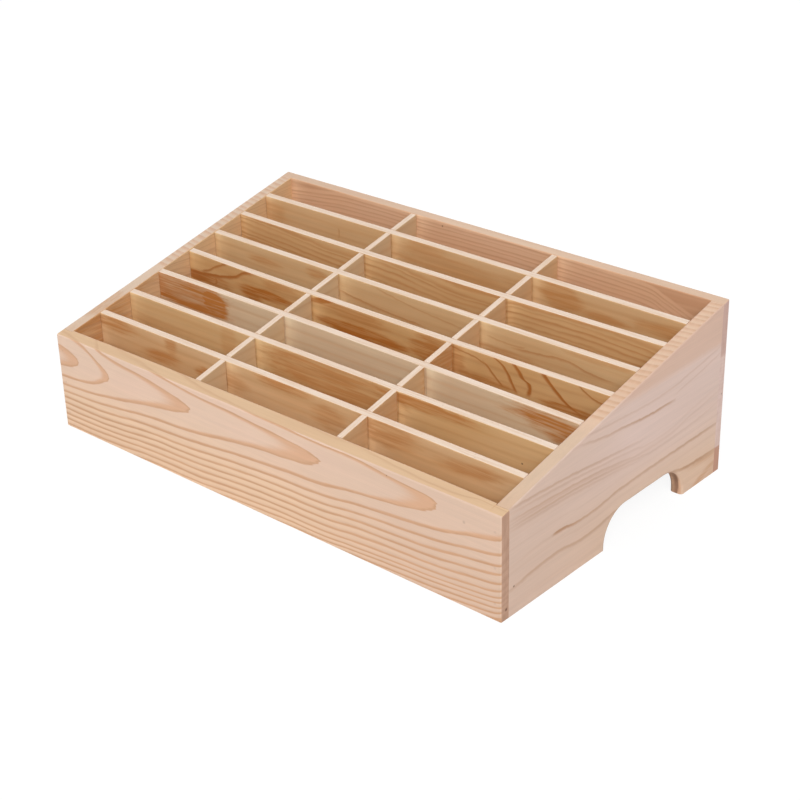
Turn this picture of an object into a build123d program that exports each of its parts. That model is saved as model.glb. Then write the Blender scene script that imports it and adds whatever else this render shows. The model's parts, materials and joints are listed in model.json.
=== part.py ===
from build123d import *
import os

# A sloping desktop rack of pine: four boards form a frame, a raised floor sits in their grooves, and
# two long dividers halved into seven cross dividers make three columns of eight open compartments.
# Millimetres. The origin is the middle of the footprint, on the surface that the rack stands on:
# +X is the right hand of someone facing the low front, +Y points to the high back, +Z is up.

# Overall size
box_width = 370.0
box_depth = 220.0
front_height = 67.3
back_height = 116.8

# Board thicknesses
front_thickness = 9.0
side_thickness = 9.0
back_thickness = 6.5
floor_thickness = 4.0
divider_thickness = 4.5

# Front corner joint: the front board's ends are rebated over the side boards
rebate_depth = 2.5

# Hand-holds in the bottom edges of the side boards
front_foot_length = 97.0
rear_foot_length = 42.0
hand_hold_radius = 20.0
hand_hold_straight = 2.0
hand_hold_edge_radius = 2.5

# Raised floor and its grooves
web_over_hand_hold = 4.0
groove_depth = 2.5
groove_clearance = 0.2
floor_edge_clearance = 0.3

# Lattice of dividers
column_count = 3
row_count = 8
lap_clearance = 0.1
divider_end_clearance = 0.15
divider_edge_chamfer = 0.35

# Softened edges of the frame
outer_edge_radius = 1.4
inner_edge_radius = 0.7

# Brads through the front and back boards into the ends of the side boards
brad_shank_diameter = 1.2
brad_head_diameter = 1.9
brad_head_thickness = 0.6
brad_length = 25.0
brad_sink = 0.3
brad_point_length = 1.2
brad_point_diameter = 0.4
brad_clearance = 0.05
brad_edge_distance = 11.0
brads_per_front_corner = 3
brads_per_back_corner = 4

# How close two places are taken as the same, and how far a search for edges reaches past its place
same_place = 0.01
search_margin = 1.0

# Places worked out from the sizes above
front_face_y = -box_depth / 2
back_face_y = box_depth / 2
half_width = box_width / 2
inner_half_width = half_width - side_thickness
front_inner_y = front_face_y + front_thickness
back_inner_y = back_face_y - back_thickness
side_front_y = front_inner_y - rebate_depth
side_back_y = back_inner_y
slope_ratio = (back_height - front_height) / box_depth
hand_hold_front_y = front_face_y + front_foot_length
hand_hold_back_y = back_face_y - rear_foot_length
hand_hold_height = hand_hold_radius + hand_hold_straight
floor_height = hand_hold_height + web_over_hand_hold
floor_top = floor_height + floor_thickness
pocket_width = 2 * (inner_half_width + groove_depth)
pocket_front_y = front_inner_y - groove_depth
pocket_back_y = back_inner_y + groove_depth
pocket_depth = pocket_back_y - pocket_front_y
pocket_middle_y = (pocket_front_y + pocket_back_y) / 2

cell_depth = (back_inner_y - front_inner_y - (row_count - 1) * divider_thickness) / row_count
cell_width = (2 * inner_half_width - (column_count - 1) * divider_thickness) / column_count
cross_places = [
    front_inner_y + (i + 1) * (cell_depth + divider_thickness) - divider_thickness / 2
    for i in range(row_count - 1)
]
long_places = [
    -inner_half_width + (j + 1) * (cell_width + divider_thickness) - divider_thickness / 2
    for j in range(column_count - 1)
]


def slope_height(y):
    """Height of the sloping top plane at a place between the front and the back."""
    return front_height + slope_ratio * (y - front_face_y)


def lap_height(y):
    """Height at which a long and a cross divider are halved into each other."""
    return (floor_top + slope_height(y)) / 2


def board_profile(near_y, far_y, foot_z):
    """Outline of a board or divider seen from the side, its top edge cut to the slope."""
    Polyline(
        (near_y, foot_z),
        (far_y, foot_z),
        (far_y, slope_height(far_y)),
        (near_y, slope_height(near_y)),
        close=True,
    )


def even_heights(count, board_height):
    """Heights of a corner's brads, evenly spread between the top and the bottom edge."""
    step = (board_height - 2 * brad_edge_distance) / (count - 1)
    return [brad_edge_distance + k * step for k in range(count)]


def near(value, target):
    """True where two places are the same, within a hair."""
    return abs(value - target) < same_place


def brad_places(face_plane, count, board_height, sides):
    """Locations of the brads on a board's outer face, at the middle of each side board's edge."""
    brad_x = half_width - side_thickness / 2
    right = face_plane.x_dir.X
    spots = [(right * s * brad_x, z) for s in sides for z in even_heights(count, board_height)]
    return [face_plane * Location((u, v, 0)) for u, v in spots]


# The outer faces of the front and back boards, seen square on, with the height running up
front_plane = Plane(origin=(0, front_face_y, 0), x_dir=(1, 0, 0), z_dir=(0, -1, 0))
back_plane = Plane(origin=(0, back_face_y, 0), x_dir=(-1, 0, 0), z_dir=(0, 1, 0))
brad_hole_depth = brad_sink + brad_length + brad_clearance
brad_hole_radius = brad_shank_diameter / 2 + brad_clearance
brad_recess_radius = brad_head_diameter / 2 + brad_clearance
brad_recess_depth = brad_sink + brad_head_thickness
both_sides = (-1, 1)

os.makedirs("parts", exist_ok=True)

# Front board: bevelled top, rebated ends, floor groove, brad holes
with BuildPart() as front_board:
    with BuildSketch(Plane.YZ):
        with BuildLine():
            board_profile(front_face_y, front_inner_y, 0)
        make_face()
    extrude(amount=half_width, both=True)
    outer_edges = front_board.edges().filter_by(lambda e: near(e.center().Y, front_face_y))
    end_edges = front_board.edges().filter_by(
        lambda e: near(abs(e.center().X), half_width) and e.center().Z > front_height - search_margin
    )
    top_and_corner_edges = outer_edges.filter_by(lambda e: not near(e.center().Z, 0)) + end_edges
    fillet(top_and_corner_edges, outer_edge_radius)
    inner_top_edge = front_board.edges().filter_by(
        lambda e: near(e.center().Y, front_inner_y) and e.center().Z > front_height
    )
    fillet(inner_top_edge.sort_by(SortBy.LENGTH)[-1:], inner_edge_radius)
    with BuildSketch(Plane.XY):
        with Locations(*[(s * (half_width - side_thickness / 2), front_inner_y) for s in both_sides]):
            Rectangle(side_thickness, 2 * rebate_depth)
    extrude(amount=back_height, mode=Mode.SUBTRACT)
    with BuildSketch(Plane.XY.offset(floor_height)):
        with Locations((0, pocket_middle_y)):
            Rectangle(pocket_width, pocket_depth)
    extrude(amount=floor_thickness + groove_clearance, mode=Mode.SUBTRACT)
    with Locations(*brad_places(front_plane, brads_per_front_corner, front_height, both_sides)):
        CounterBoreHole(brad_hole_radius, brad_recess_radius, brad_recess_depth, brad_hole_depth)
front_board.part.label = "front_board"
export_step(front_board.part, "parts/front_board.step")

# Back board: bevelled top, square ends, floor groove, brad holes
with BuildPart() as back_board:
    with BuildSketch(Plane.YZ):
        with BuildLine():
            board_profile(back_inner_y, back_face_y, 0)
        make_face()
    extrude(amount=half_width, both=True)
    outer_edges = back_board.edges().filter_by(lambda e: near(e.center().Y, back_face_y))
    end_edges = back_board.edges().filter_by(
        lambda e: near(abs(e.center().X), half_width) and e.center().Z > front_height
    )
    top_and_corner_edges = outer_edges.filter_by(lambda e: not near(e.center().Z, 0)) + end_edges
    fillet(top_and_corner_edges, outer_edge_radius)
    inner_top_edge = back_board.edges().filter_by(
        lambda e: near(e.center().Y, back_inner_y) and e.center().Z > front_height
    )
    fillet(inner_top_edge.sort_by(SortBy.LENGTH)[-1:], inner_edge_radius)
    with BuildSketch(Plane.XY.offset(floor_height)):
        with Locations((0, pocket_middle_y)):
            Rectangle(pocket_width, pocket_depth)
    extrude(amount=floor_thickness + groove_clearance, mode=Mode.SUBTRACT)
    with Locations(*brad_places(back_plane, brads_per_back_corner, back_height, both_sides)):
        CounterBoreHole(brad_hole_radius, brad_recess_radius, brad_recess_depth, brad_hole_depth)
back_board.part.label = "back_board"
export_step(back_board.part, "parts/back_board.step")

# Side boards: sloping top edge, hand-hold with rounded-over edges, floor groove, brad holes in the ends
for side_name, side in (("left", -1), ("right", 1)):
    inner_face_plane = Plane.YZ.offset(side * inner_half_width)
    outer_x = side * half_width
    inner_x = side * inner_half_width
    with BuildPart() as side_board:
        with BuildSketch(inner_face_plane):
            with BuildLine():
                board_profile(side_front_y, side_back_y, 0)
            make_face()
        extrude(amount=side * side_thickness)
        with BuildSketch(inner_face_plane) as hand_hold:
            with Locations(((hand_hold_front_y + hand_hold_back_y) / 2, 0)):
                Rectangle(hand_hold_back_y - hand_hold_front_y, 2 * hand_hold_height)
            fillet(hand_hold.vertices().group_by(Axis.Y)[-1], hand_hold_radius)
        extrude(amount=side * side_thickness, mode=Mode.SUBTRACT)
        hand_hold_edges = side_board.edges().filter_by(
            lambda e: (near(e.center().X, outer_x) or near(e.center().X, inner_x))
            and hand_hold_front_y - search_margin < e.center().Y < hand_hold_back_y + search_margin
            and same_place < e.center().Z < hand_hold_height + search_margin
        )
        fillet(hand_hold_edges, hand_hold_edge_radius)
        top_outer_edge = side_board.edges().filter_by(
            lambda e: near(e.center().X, outer_x) and e.center().Z > front_height
        )
        fillet(top_outer_edge.sort_by(SortBy.LENGTH)[-1:], outer_edge_radius)
        top_inner_edge = side_board.edges().filter_by(
            lambda e: near(e.center().X, inner_x) and e.center().Z > front_height
        )
        fillet(top_inner_edge.sort_by(SortBy.LENGTH)[-1:], inner_edge_radius)
        with BuildSketch(Plane.XY.offset(floor_height)):
            with Locations((0, pocket_middle_y)):
                Rectangle(pocket_width, pocket_depth)
        extrude(amount=floor_thickness + groove_clearance, mode=Mode.SUBTRACT)
        with Locations(*brad_places(front_plane, brads_per_front_corner, front_height, (side,))):
            Hole(brad_hole_radius, brad_hole_depth)
        with Locations(*brad_places(back_plane, brads_per_back_corner, back_height, (side,))):
            Hole(brad_hole_radius, brad_hole_depth)
    side_board.part.label = f"{side_name}_side_board"
    export_step(side_board.part, f"parts/{side_name}_side_board.step")

# Floor panel: plain sheet, resting on the lower faces of the grooves
with BuildPart() as floor_panel:
    with BuildSketch(Plane.XY.offset(floor_height)):
        with Locations((0, pocket_middle_y)):
            Rectangle(pocket_width - 2 * floor_edge_clearance, pocket_depth - 2 * floor_edge_clearance)
    extrude(amount=floor_thickness)
floor_panel.part.label = "floor_panel"
export_step(floor_panel.part, "parts/floor_panel.step")

# Long dividers: stand on the floor, slotted from the top for the cross dividers
slot_width = divider_thickness + 2 * lap_clearance
long_front_y = front_inner_y + divider_end_clearance
long_back_y = back_inner_y - divider_end_clearance
for j, long_x in enumerate(long_places):
    with BuildPart() as long_divider:
        with BuildSketch(Plane.YZ.offset(long_x)):
            with BuildLine():
                board_profile(long_front_y, long_back_y, floor_top)
            make_face()
        extrude(amount=divider_thickness / 2, both=True)
        top_edges = long_divider.edges().filter_by(
            lambda e: not near(e.center().X, long_x) and e.center().Z > front_height
        )
        chamfer(top_edges.sort_by(SortBy.LENGTH)[-2:], divider_edge_chamfer)
        for cross_y in cross_places:
            with BuildSketch(Plane.XY.offset(lap_height(cross_y))):
                with Locations((long_x, cross_y)):
                    Rectangle(2 * divider_thickness, slot_width)
            extrude(amount=back_height, mode=Mode.SUBTRACT)
    long_divider.part.label = f"long_divider_{j + 1}"
    export_step(long_divider.part, f"parts/long_divider_{j + 1}.step")

# Cross dividers: run from side board to side board, slotted from below over the long dividers
for i, cross_y in enumerate(cross_places):
    near_y = cross_y - divider_thickness / 2
    far_y = cross_y + divider_thickness / 2
    with BuildPart() as cross_divider:
        with BuildSketch(Plane.YZ):
            with BuildLine():
                board_profile(near_y, far_y, floor_top)
            make_face()
        extrude(amount=inner_half_width - divider_end_clearance, both=True)
        top_edges = cross_divider.edges().filter_by(Axis.X).filter_by(
            lambda e: e.center().Z > front_height - search_margin
        )
        chamfer(top_edges, divider_edge_chamfer)
        with BuildSketch(Plane.XY.offset(floor_top)):
            with Locations(*[(long_x, cross_y) for long_x in long_places]):
                Rectangle(slot_width, 2 * divider_thickness)
        extrude(amount=lap_height(cross_y) + lap_clearance - floor_top, mode=Mode.SUBTRACT)
    cross_divider.part.label = f"cross_divider_{i + 1}"
    export_step(cross_divider.part, f"parts/cross_divider_{i + 1}.step")

# Brads: one group of separate nails at each corner, heads sunk just below the board's face
corners = (
    ("front_left", front_plane, brads_per_front_corner, front_height, -1),
    ("front_right", front_plane, brads_per_front_corner, front_height, 1),
    ("rear_left", back_plane, brads_per_back_corner, back_height, -1),
    ("rear_right", back_plane, brads_per_back_corner, back_height, 1),
)
head_plane_depth = brad_recess_depth
point_plane_depth = brad_sink + brad_length - brad_point_length
for corner_name, face_plane, brad_count, corner_height, side in corners:
    head_plane = face_plane.offset(-head_plane_depth)
    point_plane = face_plane.offset(-point_plane_depth)
    with BuildPart() as brads:
        with Locations(*brad_places(head_plane, brad_count, corner_height, (side,))):
            Cylinder(
                brad_head_diameter / 2,
                brad_head_thickness,
                align=(Align.CENTER, Align.CENTER, Align.MIN),
            )
            Cylinder(
                brad_shank_diameter / 2,
                point_plane_depth - head_plane_depth,
                align=(Align.CENTER, Align.CENTER, Align.MAX),
            )
        with Locations(*brad_places(point_plane, brad_count, corner_height, (side,))):
            Cone(
                brad_point_diameter / 2,
                brad_shank_diameter / 2,
                brad_point_length,
                align=(Align.CENTER, Align.CENTER, Align.MAX),
            )
    brads.part.label = f"{corner_name}_brads"
    export_step(brads.part, f"parts/{corner_name}_brads.step")
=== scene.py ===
"""The looks of a sloping pine rack with an open lattice of compartments.

Every board and divider is a closed surface worked out with numpy: a rounded section carried from one end to
the other. The floor panel and the brads keep their construction meshes. The growth rings are a solid figure
that runs through each board, so faces, edges and end grain agree where they meet. Places and sizes on the
rack are millimetres until they go into a mesh.
"""

import json
import logging
import math
from dataclasses import dataclass, field, replace
from enum import Enum

import bpy
import numpy as np
from mathutils import Matrix, Vector

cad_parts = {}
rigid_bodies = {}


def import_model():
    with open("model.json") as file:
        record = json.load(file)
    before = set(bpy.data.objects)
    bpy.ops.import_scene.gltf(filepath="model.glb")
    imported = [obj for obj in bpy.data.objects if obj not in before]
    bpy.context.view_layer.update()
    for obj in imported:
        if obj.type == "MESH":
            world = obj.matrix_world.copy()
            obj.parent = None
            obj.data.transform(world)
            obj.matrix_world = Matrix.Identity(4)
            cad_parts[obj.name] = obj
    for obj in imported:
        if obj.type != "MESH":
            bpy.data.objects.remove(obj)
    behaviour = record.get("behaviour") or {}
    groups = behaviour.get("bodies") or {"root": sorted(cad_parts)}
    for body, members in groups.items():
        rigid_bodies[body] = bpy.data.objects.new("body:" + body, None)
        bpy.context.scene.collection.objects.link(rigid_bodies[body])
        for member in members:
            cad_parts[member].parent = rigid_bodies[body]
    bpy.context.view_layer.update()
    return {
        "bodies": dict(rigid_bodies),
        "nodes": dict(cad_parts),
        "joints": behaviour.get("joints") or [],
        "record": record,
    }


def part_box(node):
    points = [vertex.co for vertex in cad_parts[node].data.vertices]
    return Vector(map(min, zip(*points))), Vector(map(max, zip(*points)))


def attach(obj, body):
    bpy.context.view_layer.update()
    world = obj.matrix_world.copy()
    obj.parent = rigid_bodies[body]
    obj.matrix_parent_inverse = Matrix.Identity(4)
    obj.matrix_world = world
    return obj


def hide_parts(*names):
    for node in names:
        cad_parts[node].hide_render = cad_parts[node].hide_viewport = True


MM = 0.001
QUARTER_TURN = math.pi / 2
FULL_TURN = 2 * math.pi
log = logging.getLogger("rack")

Triple = tuple[float, float, float]
Colour = Triple
Points = tuple[tuple[float, float], ...]
Array = np.ndarray
Piece = bpy.types.Object
Socket = bpy.types.NodeSocket
Materials = tuple[bpy.types.Material, ...]


def srgb(red: float, green: float, blue: float) -> Colour:
    """Turns a colour as displayed, each channel from 0 to 255, into the linear values that a shader takes."""
    shares = (red / 255, green / 255, blue / 255)
    return tuple(c / 12.92 if c <= 0.04045 else ((c + 0.055) / 1.055) ** 2.4 for c in shares)


def box_mm(node: str) -> tuple[Array, Array]:
    """Lowest and highest corner of a construction node, in millimetres."""
    low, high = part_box(node)
    return np.array(low) / MM, np.array(high) / MM


def even(low: float, high: float, step: float) -> Array:
    """Evenly spaced places from low to high, about step apart, both ends included."""
    return np.linspace(low, high, max(2, int(round((high - low) / step)) + 1))


def at_height(places: Array, height: Array | float) -> Array:
    """An outline of points (place, height), the height being one value or one for each place."""
    return np.stack([places, 0 * places + height], axis=1)


def partings(low: float, high: float, count: int, thickness: float) -> list[float]:
    """Middles of the strips, all of one thickness, that part the room from low to high into equal cells."""
    pitch = (high - low + thickness) / count
    return [low - thickness / 2 + (k + 1) * pitch for k in range(count - 1)]


class Runs(Enum):
    """The way that a board's length lies."""

    SIDE_TO_SIDE = "x"
    FRONT_TO_BACK = "y"


class Region(Enum):
    """The parts of a board's surface that are dressed apart."""

    FACE = 0
    EDGE = 1
    END_GRAIN = 2


@dataclass(frozen=True)
class RackSizes:
    """The rack's places and sizes in millimetres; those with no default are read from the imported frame."""

    half_width: float
    inner_half_width: float
    front_face: float
    front_inner: float
    side_front: float
    back_inner: float
    back_face: float
    floor_under: float
    floor_top: float
    front_height: float = 67.3
    back_height: float = 116.8
    hand_hold_front: float = -13.0
    hand_hold_back: float = 68.0
    hand_hold_radius: float = 20.0
    hand_hold_straight: float = 2.0
    groove_depth: float = 2.5
    groove_clearance: float = 0.2
    divider_thickness: float = 4.5
    column_count: int = 3
    row_count: int = 8
    front_brads: int = 3
    rear_brads: int = 4

    @classmethod
    def from_frame(cls) -> "RackSizes":
        """Reads the places from the construction nodes' boxes.

        Returns:
            The rack's sizes.
        """
        front_low, front_high = box_mm("front_board")
        back_low, back_high = box_mm("back_board")
        side_low, _ = box_mm("right_side_board")
        floor_low, floor_high = box_mm("floor_panel")
        return cls(
            half_width=front_high[0], inner_half_width=side_low[0], front_face=front_low[1],
            front_inner=front_high[1], side_front=side_low[1], back_inner=back_low[1],
            back_face=back_high[1], floor_under=floor_low[2], floor_top=floor_high[2],
        )

    @property
    def slope(self) -> float:
        """Rise of the top plane for each millimetre towards the back."""
        return (self.back_height - self.front_height) / (self.back_face - self.front_face)

    def top_at(self, y: Array | float) -> Array | float:
        """Height of the sloping top plane at a place between front and back."""
        return self.front_height + self.slope * (y - self.front_face)

    def lap_at(self, y: float) -> float:
        """Height at which crossing dividers are halved into each other."""
        return (self.floor_top + self.top_at(y)) / 2

    @property
    def cross_places(self) -> list[float]:
        """Even places of the cross dividers, front one first."""
        return partings(self.front_inner, self.back_inner, self.row_count, self.divider_thickness)

    @property
    def long_places(self) -> list[float]:
        """Even places of the long dividers, left one first."""
        half = self.inner_half_width
        return partings(-half, half, self.column_count, self.divider_thickness)


@dataclass(frozen=True)
class Flex:
    """How a thin divider lies beside its straight place: at mid-length, and further off at its two ends."""

    middle: float = 0.0
    bend: float = 0.0
    skew: float = 0.0

    def at(self, share: Array | float) -> Array | float:
        """Sideways offset, middle + skew x share + bend x share squared, at a share from -1 to 1."""
        return self.middle + self.skew * share + self.bend * share**2


def inset_directions(outline: Array, turn: float) -> Array:
    """Mitre directions into the wood along an open outline.

    At a point the normals n1 and n2 of its two segments give the mitre (n1 + n2) / (1 + n1 . n2), so that an
    outline moved by r along it stays parallel at distance r. The divisor is kept above a least value.

    Args:
        outline: Points (n, 2), along and height.
        turn: +1 where the wood lies to the left of the outline's direction, -1 to the right.

    Returns:
        The directions, (n, 2).
    """
    least_length, least_divisor = 1e-9, 0.2
    step = np.diff(outline, axis=0)
    length = np.linalg.norm(step, axis=1, keepdims=True)
    step = step / np.maximum(length, least_length)
    normal = turn * np.stack([-step[:, 1], step[:, 0]], axis=1)
    before = np.vstack([normal[:1], normal])
    after = np.vstack([normal, normal[-1:]])
    dot = np.sum(before * after, axis=1, keepdims=True)
    return (before + after) / np.maximum(1 + dot, least_divisor)


@dataclass
class Arris:
    """Radii of a board's softened edges, in millimetres, each a number or one value for each station."""

    top_outer: Array | float
    top_inner: Array | float
    foot_outer: Array | float
    foot_inner: Array | float


@dataclass(frozen=True)
class EndRounding:
    """How far each side of the section draws in over a board's end, in millimetres."""

    outer: float
    inner: float
    top: float
    foot: float


@dataclass
class Plank:
    """A board as one closed surface: a rounded section carried along the board's foot and top outlines.

    The section has an outer and an inner half. Each climbs from the foot edge round a quarter circle to the
    face, up the face, and round another quarter circle to the top edge. Near each end the section draws in
    along a quarter circle, and a strip of quads closes the end.
    """

    name: str
    runs: Runs
    foot: Array
    top: Array
    outer: Array | float
    inner: Array | float
    arris: Arris
    end: EndRounding
    foot_in: Array | None = None
    bevel: float = 0.0
    groove: tuple[float, float] | None = None
    groove_depth: Array | float = 0.0
    cut_foot: Array | None = None
    flex: Flex = field(default_factory=Flex)
    wobble: float = 0.05
    seed: int = 1
    arc_steps: int = 5
    face_rows: int = 5
    rows_under_groove: tuple[float, ...] = (0.34, 0.67)
    least_radius: float = 0.05
    wobble_waves: tuple[float, ...] = (61.0, 37.0, 23.0)
    wobble_climb: float = 55.0

    def _stations(self) -> dict[str, Array]:
        """Lengthens every per-station array by the stations that round the two ends.

        With a an angle from 0 to 90 degrees and R the longest draw-in, the added stations lie R (1 - cos a)
        from the board's end, where the section is drawn in by the share 1 - sin a.

        Returns:
            The arrays by name, and the draw-in share at each station (0 along the board, 1 at its ends).
        """
        count, extra = len(self.foot), self.arc_steps
        turn = np.linspace(0, QUARTER_TURN, extra + 1)[:-1]
        reach = max(self.end.outer, self.end.top)
        ahead = reach * (1 - np.cos(turn))

        def longer(values: Array) -> Array:
            """Repeats the first and the last value for the added stations."""
            head, tail = (np.repeat(end, extra, axis=0) for end in (values[:1], values[-1:]))
            return np.concatenate([head, values, tail])

        spread = {
            "foot_in": longer(inset_directions(self.foot, 1.0) if self.foot_in is None else self.foot_in),
            "top_in": longer(inset_directions(self.top, -1.0)),
        }
        levels = {"outer": self.outer, "inner": self.inner, "groove": self.groove_depth, **vars(self.arris)}
        for name, value in levels.items():
            spread[name] = longer(np.broadcast_to(np.asarray(value, float), (count,)))
        for name, outline in (("foot", self.foot), ("top", self.top)):
            line = outline.astype(float)
            line[0, 0] += reach
            line[-1, 0] -= reach
            line = longer(line)
            line[:extra, 0] += ahead - reach
            line[-extra:, 0] += reach - ahead[::-1]
            spread[name] = line
        share = 1 - np.sin(turn)
        spread["draw"] = np.concatenate([share, np.zeros(count), share[::-1]])
        return spread

    def _half(self, spread: dict[str, Array], side: str) -> Array:
        """One half of the section at every station, from the foot edge up to the top edge.

        A quarter circle leads to the face, straight rows go up it, and another quarter circle ends at the
        top. A bevelled board is then sheared, by nothing at its foot and by the whole bevel at its top.

        Args:
            spread: The per-station arrays.
            side: "outer" or "inner".

        Returns:
            Points (stations, half loop, 3) as along, across, height.
        """
        draw = spread["draw"]
        inward = np.sign(spread["inner"] - spread["outer"]) * (1.0 if side == "outer" else -1.0)
        pulled = getattr(self.end, side) * draw
        wall = (spread[side] + inward * pulled, inward, pulled)
        turn = np.linspace(0, QUARTER_TURN, self.arc_steps + 1)[None, :]
        low = self._quarter(spread, "foot", side, wall, turn)
        high = self._quarter(spread, "top", side, wall, turn[:, ::-1])
        start, finish = low[:, -1], high[:, 0]
        groove = spread["groove"] if side == "inner" else 0 * draw
        shares, recess = self._rows(start[:, 2], finish[:, 2], groove)
        rows = start[:, None, :] + (finish - start)[:, None, :] * shares[..., None]
        rows[..., 1] += inward[:, None] * recess
        half = np.concatenate([low, rows, high], axis=1)
        climb = np.concatenate([0 * low[..., 0], shares, 1 + 0 * high[..., 0]], axis=1)
        middle = (spread["outer"] + spread["inner"])[:, None] / 2
        half[..., 2] += self.bevel * (half[..., 1] - middle) * climb
        return half

    def _quarter(
        self, spread: dict[str, Array], edge: str, side: str, wall: tuple[Array, ...], angles: Array
    ) -> Array:
        """The quarter circle between a foot or top edge and a face, at every station.

        With r the edge's radius and a an angle from 0 to 90 degrees, a point lies at face + r (1 - sin a)
        inwards and at corner + r (1 - cos a) into the wood.

        Args:
            spread: The per-station arrays.
            edge: "foot" or "top".
            side: "outer" or "inner".
            wall: At each station the face's place, its direction into the wood and how far it is drawn in.
            angles: The angles, (1, steps).

        Returns:
            Points (stations, steps, 3) as along, across, height.
        """
        face, inward, pulled = wall
        into = spread[f"{edge}_in"]
        corner = spread[edge] + into * (getattr(self.end, edge) * spread["draw"])[:, None]
        radius = np.maximum(spread[f"{edge}_{side}"] - pulled, self.least_radius)[:, None]
        across = face[:, None] + inward[:, None] * radius * (1 - np.sin(angles))
        line = corner[:, None, :] + into[:, None, :] * (radius * (1 - np.cos(angles)))[..., None]
        return np.stack([line[..., 0], across, line[..., 1]], axis=-1)

    def _rows(self, low: Array, high: Array, depth: Array) -> tuple[Array, Array]:
        """Where the face's rows lie between its two edges, and how far each is let into the board.

        Args:
            low: Height of the face's lower edge at each station.
            high: Height of its upper edge.
            depth: Depth of the floor groove at each station.

        Returns:
            Shares of the way up (stations, rows), and recess depths of the same shape.
        """
        if self.groove is None:
            shares = np.linspace(0, 1, self.face_rows + 2)[None, 1:-1].repeat(len(low), axis=0)
            return shares, np.zeros_like(shares)
        bottom, ceiling = self.groove
        first = ((bottom - low) / (high - low))[:, None]
        second = ((ceiling - low) / (high - low))[:, None]
        below = first * np.array(self.rows_under_groove)[None, :]
        above = second + (1 - second) * np.linspace(0, 1, self.face_rows)[None, 1:-1]
        shares = np.concatenate([below, first, first, second, second, above], axis=1)
        recess = np.zeros_like(shares)
        groove_row = len(self.rows_under_groove) + 1
        recess[:, groove_row : groove_row + 2] = depth[:, None]
        return shares, recess

    def _lie(self, grid: Array) -> Array:
        """Gives the board its natural unevenness: flex along its length, and a fine wobble.

        The wobble is a sum of sine waves along the board, each with a seeded phase that shifts with height.

        Args:
            grid: Points (stations, loop, 3) as along, across, height; they are moved across.

        Returns:
            The same points, moved.
        """
        along, height = grid[..., 0], grid[..., 2]
        low, high = along.min(), along.max()
        shift = self.flex.at((2 * along - low - high) / (high - low))
        draws = np.random.default_rng(self.seed)
        depth = self.wobble / len(self.wobble_waves)
        for wave in self.wobble_waves:
            phase = draws.uniform(0, FULL_TURN, 2).sum()
            shift = shift + depth * np.sin(along / wave * FULL_TURN + phase + height / self.wobble_climb)
        grid[..., 1] += shift
        return grid

    def build(self) -> Piece:
        """Makes the board's mesh object, riding on the rack.

        Returns:
            The new object, with one material slot number for each region.
        """
        spread = self._stations()
        outer, inner = self._half(spread, "outer"), self._half(spread, "inner")
        rows = outer.shape[1]
        grid = self._lie(np.concatenate([outer, inner[:, ::-1]], axis=1))
        if self.runs is Runs.FRONT_TO_BACK:
            grid = grid[..., [1, 0, 2]]
        stations, loop = grid.shape[:2]
        index = np.arange(stations * loop).reshape(stations, loop)
        after = np.roll(index, -1, axis=1)
        walls = np.stack([index[:-1], index[1:], after[1:], after[:-1]], axis=-1).reshape(-1, 4)
        near, far = index[[0, -1], :rows], index[[0, -1], ::-1][:, :rows]
        caps = np.stack([near[:, :-1], near[:, 1:], far[:, 1:], far[:, :-1]], axis=-1)
        faces = np.vstack([walls, caps[0], caps[1, :, ::-1]])
        region = self._regions(stations, loop, rows)
        region = np.concatenate([region, np.full(len(faces) - len(region), Region.END_GRAIN.value)])
        vertices = grid.reshape(-1, 3)
        if signed_volume(vertices, faces) < 0:
            faces = faces[:, ::-1]
        return mesh_object(self.name, vertices * MM, faces, region)

    def _regions(self, stations: int, loop: int, rows: int) -> Array:
        """Which region each wall quad belongs to: ends first, then top and foot edges, then faces.

        Args:
            stations: How many stations the board has, its rounded ends included.
            loop: How many points go round the section.
            rows: How many of them belong to one half.

        Returns:
            The region's number for each wall quad.
        """
        region = np.full((stations - 1, loop), Region.FACE.value)
        region[:, rows - 2 : rows + 1] = Region.EDGE.value
        region[:, loop - 2 :] = Region.EDGE.value
        region[:, 0] = Region.EDGE.value
        rounded = self.arc_steps // 2
        if self.cut_foot is not None:
            cut = np.zeros(stations, bool)
            cut[self.arc_steps : stations - self.arc_steps] = self.cut_foot
            across = np.flatnonzero(cut[:-1] & cut[1:])[:, None]
            arcs = np.array([*range(rounded), *range(loop - 1 - rounded, loop)])
            region[across, arcs] = Region.END_GRAIN.value
        region[:rounded] = Region.END_GRAIN.value
        region[-rounded:] = Region.END_GRAIN.value
        return region.reshape(-1)


def signed_volume(vertices: Array, faces: Array) -> float:
    """Volume inside a closed quad surface: the sum over its triangles of a . (b x c) / 6, positive outwards.

    Args:
        vertices: Points (n, 3).
        faces: Corner numbers (m, 4).

    Returns:
        The volume, negative where the faces point inwards.
    """
    a, b, c, d = (vertices[faces[:, k]] for k in range(4))
    total = np.einsum("ij,ij->i", a, np.cross(b, c)) + np.einsum("ij,ij->i", a, np.cross(c, d))
    return float(total.sum() / 6)


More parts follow.
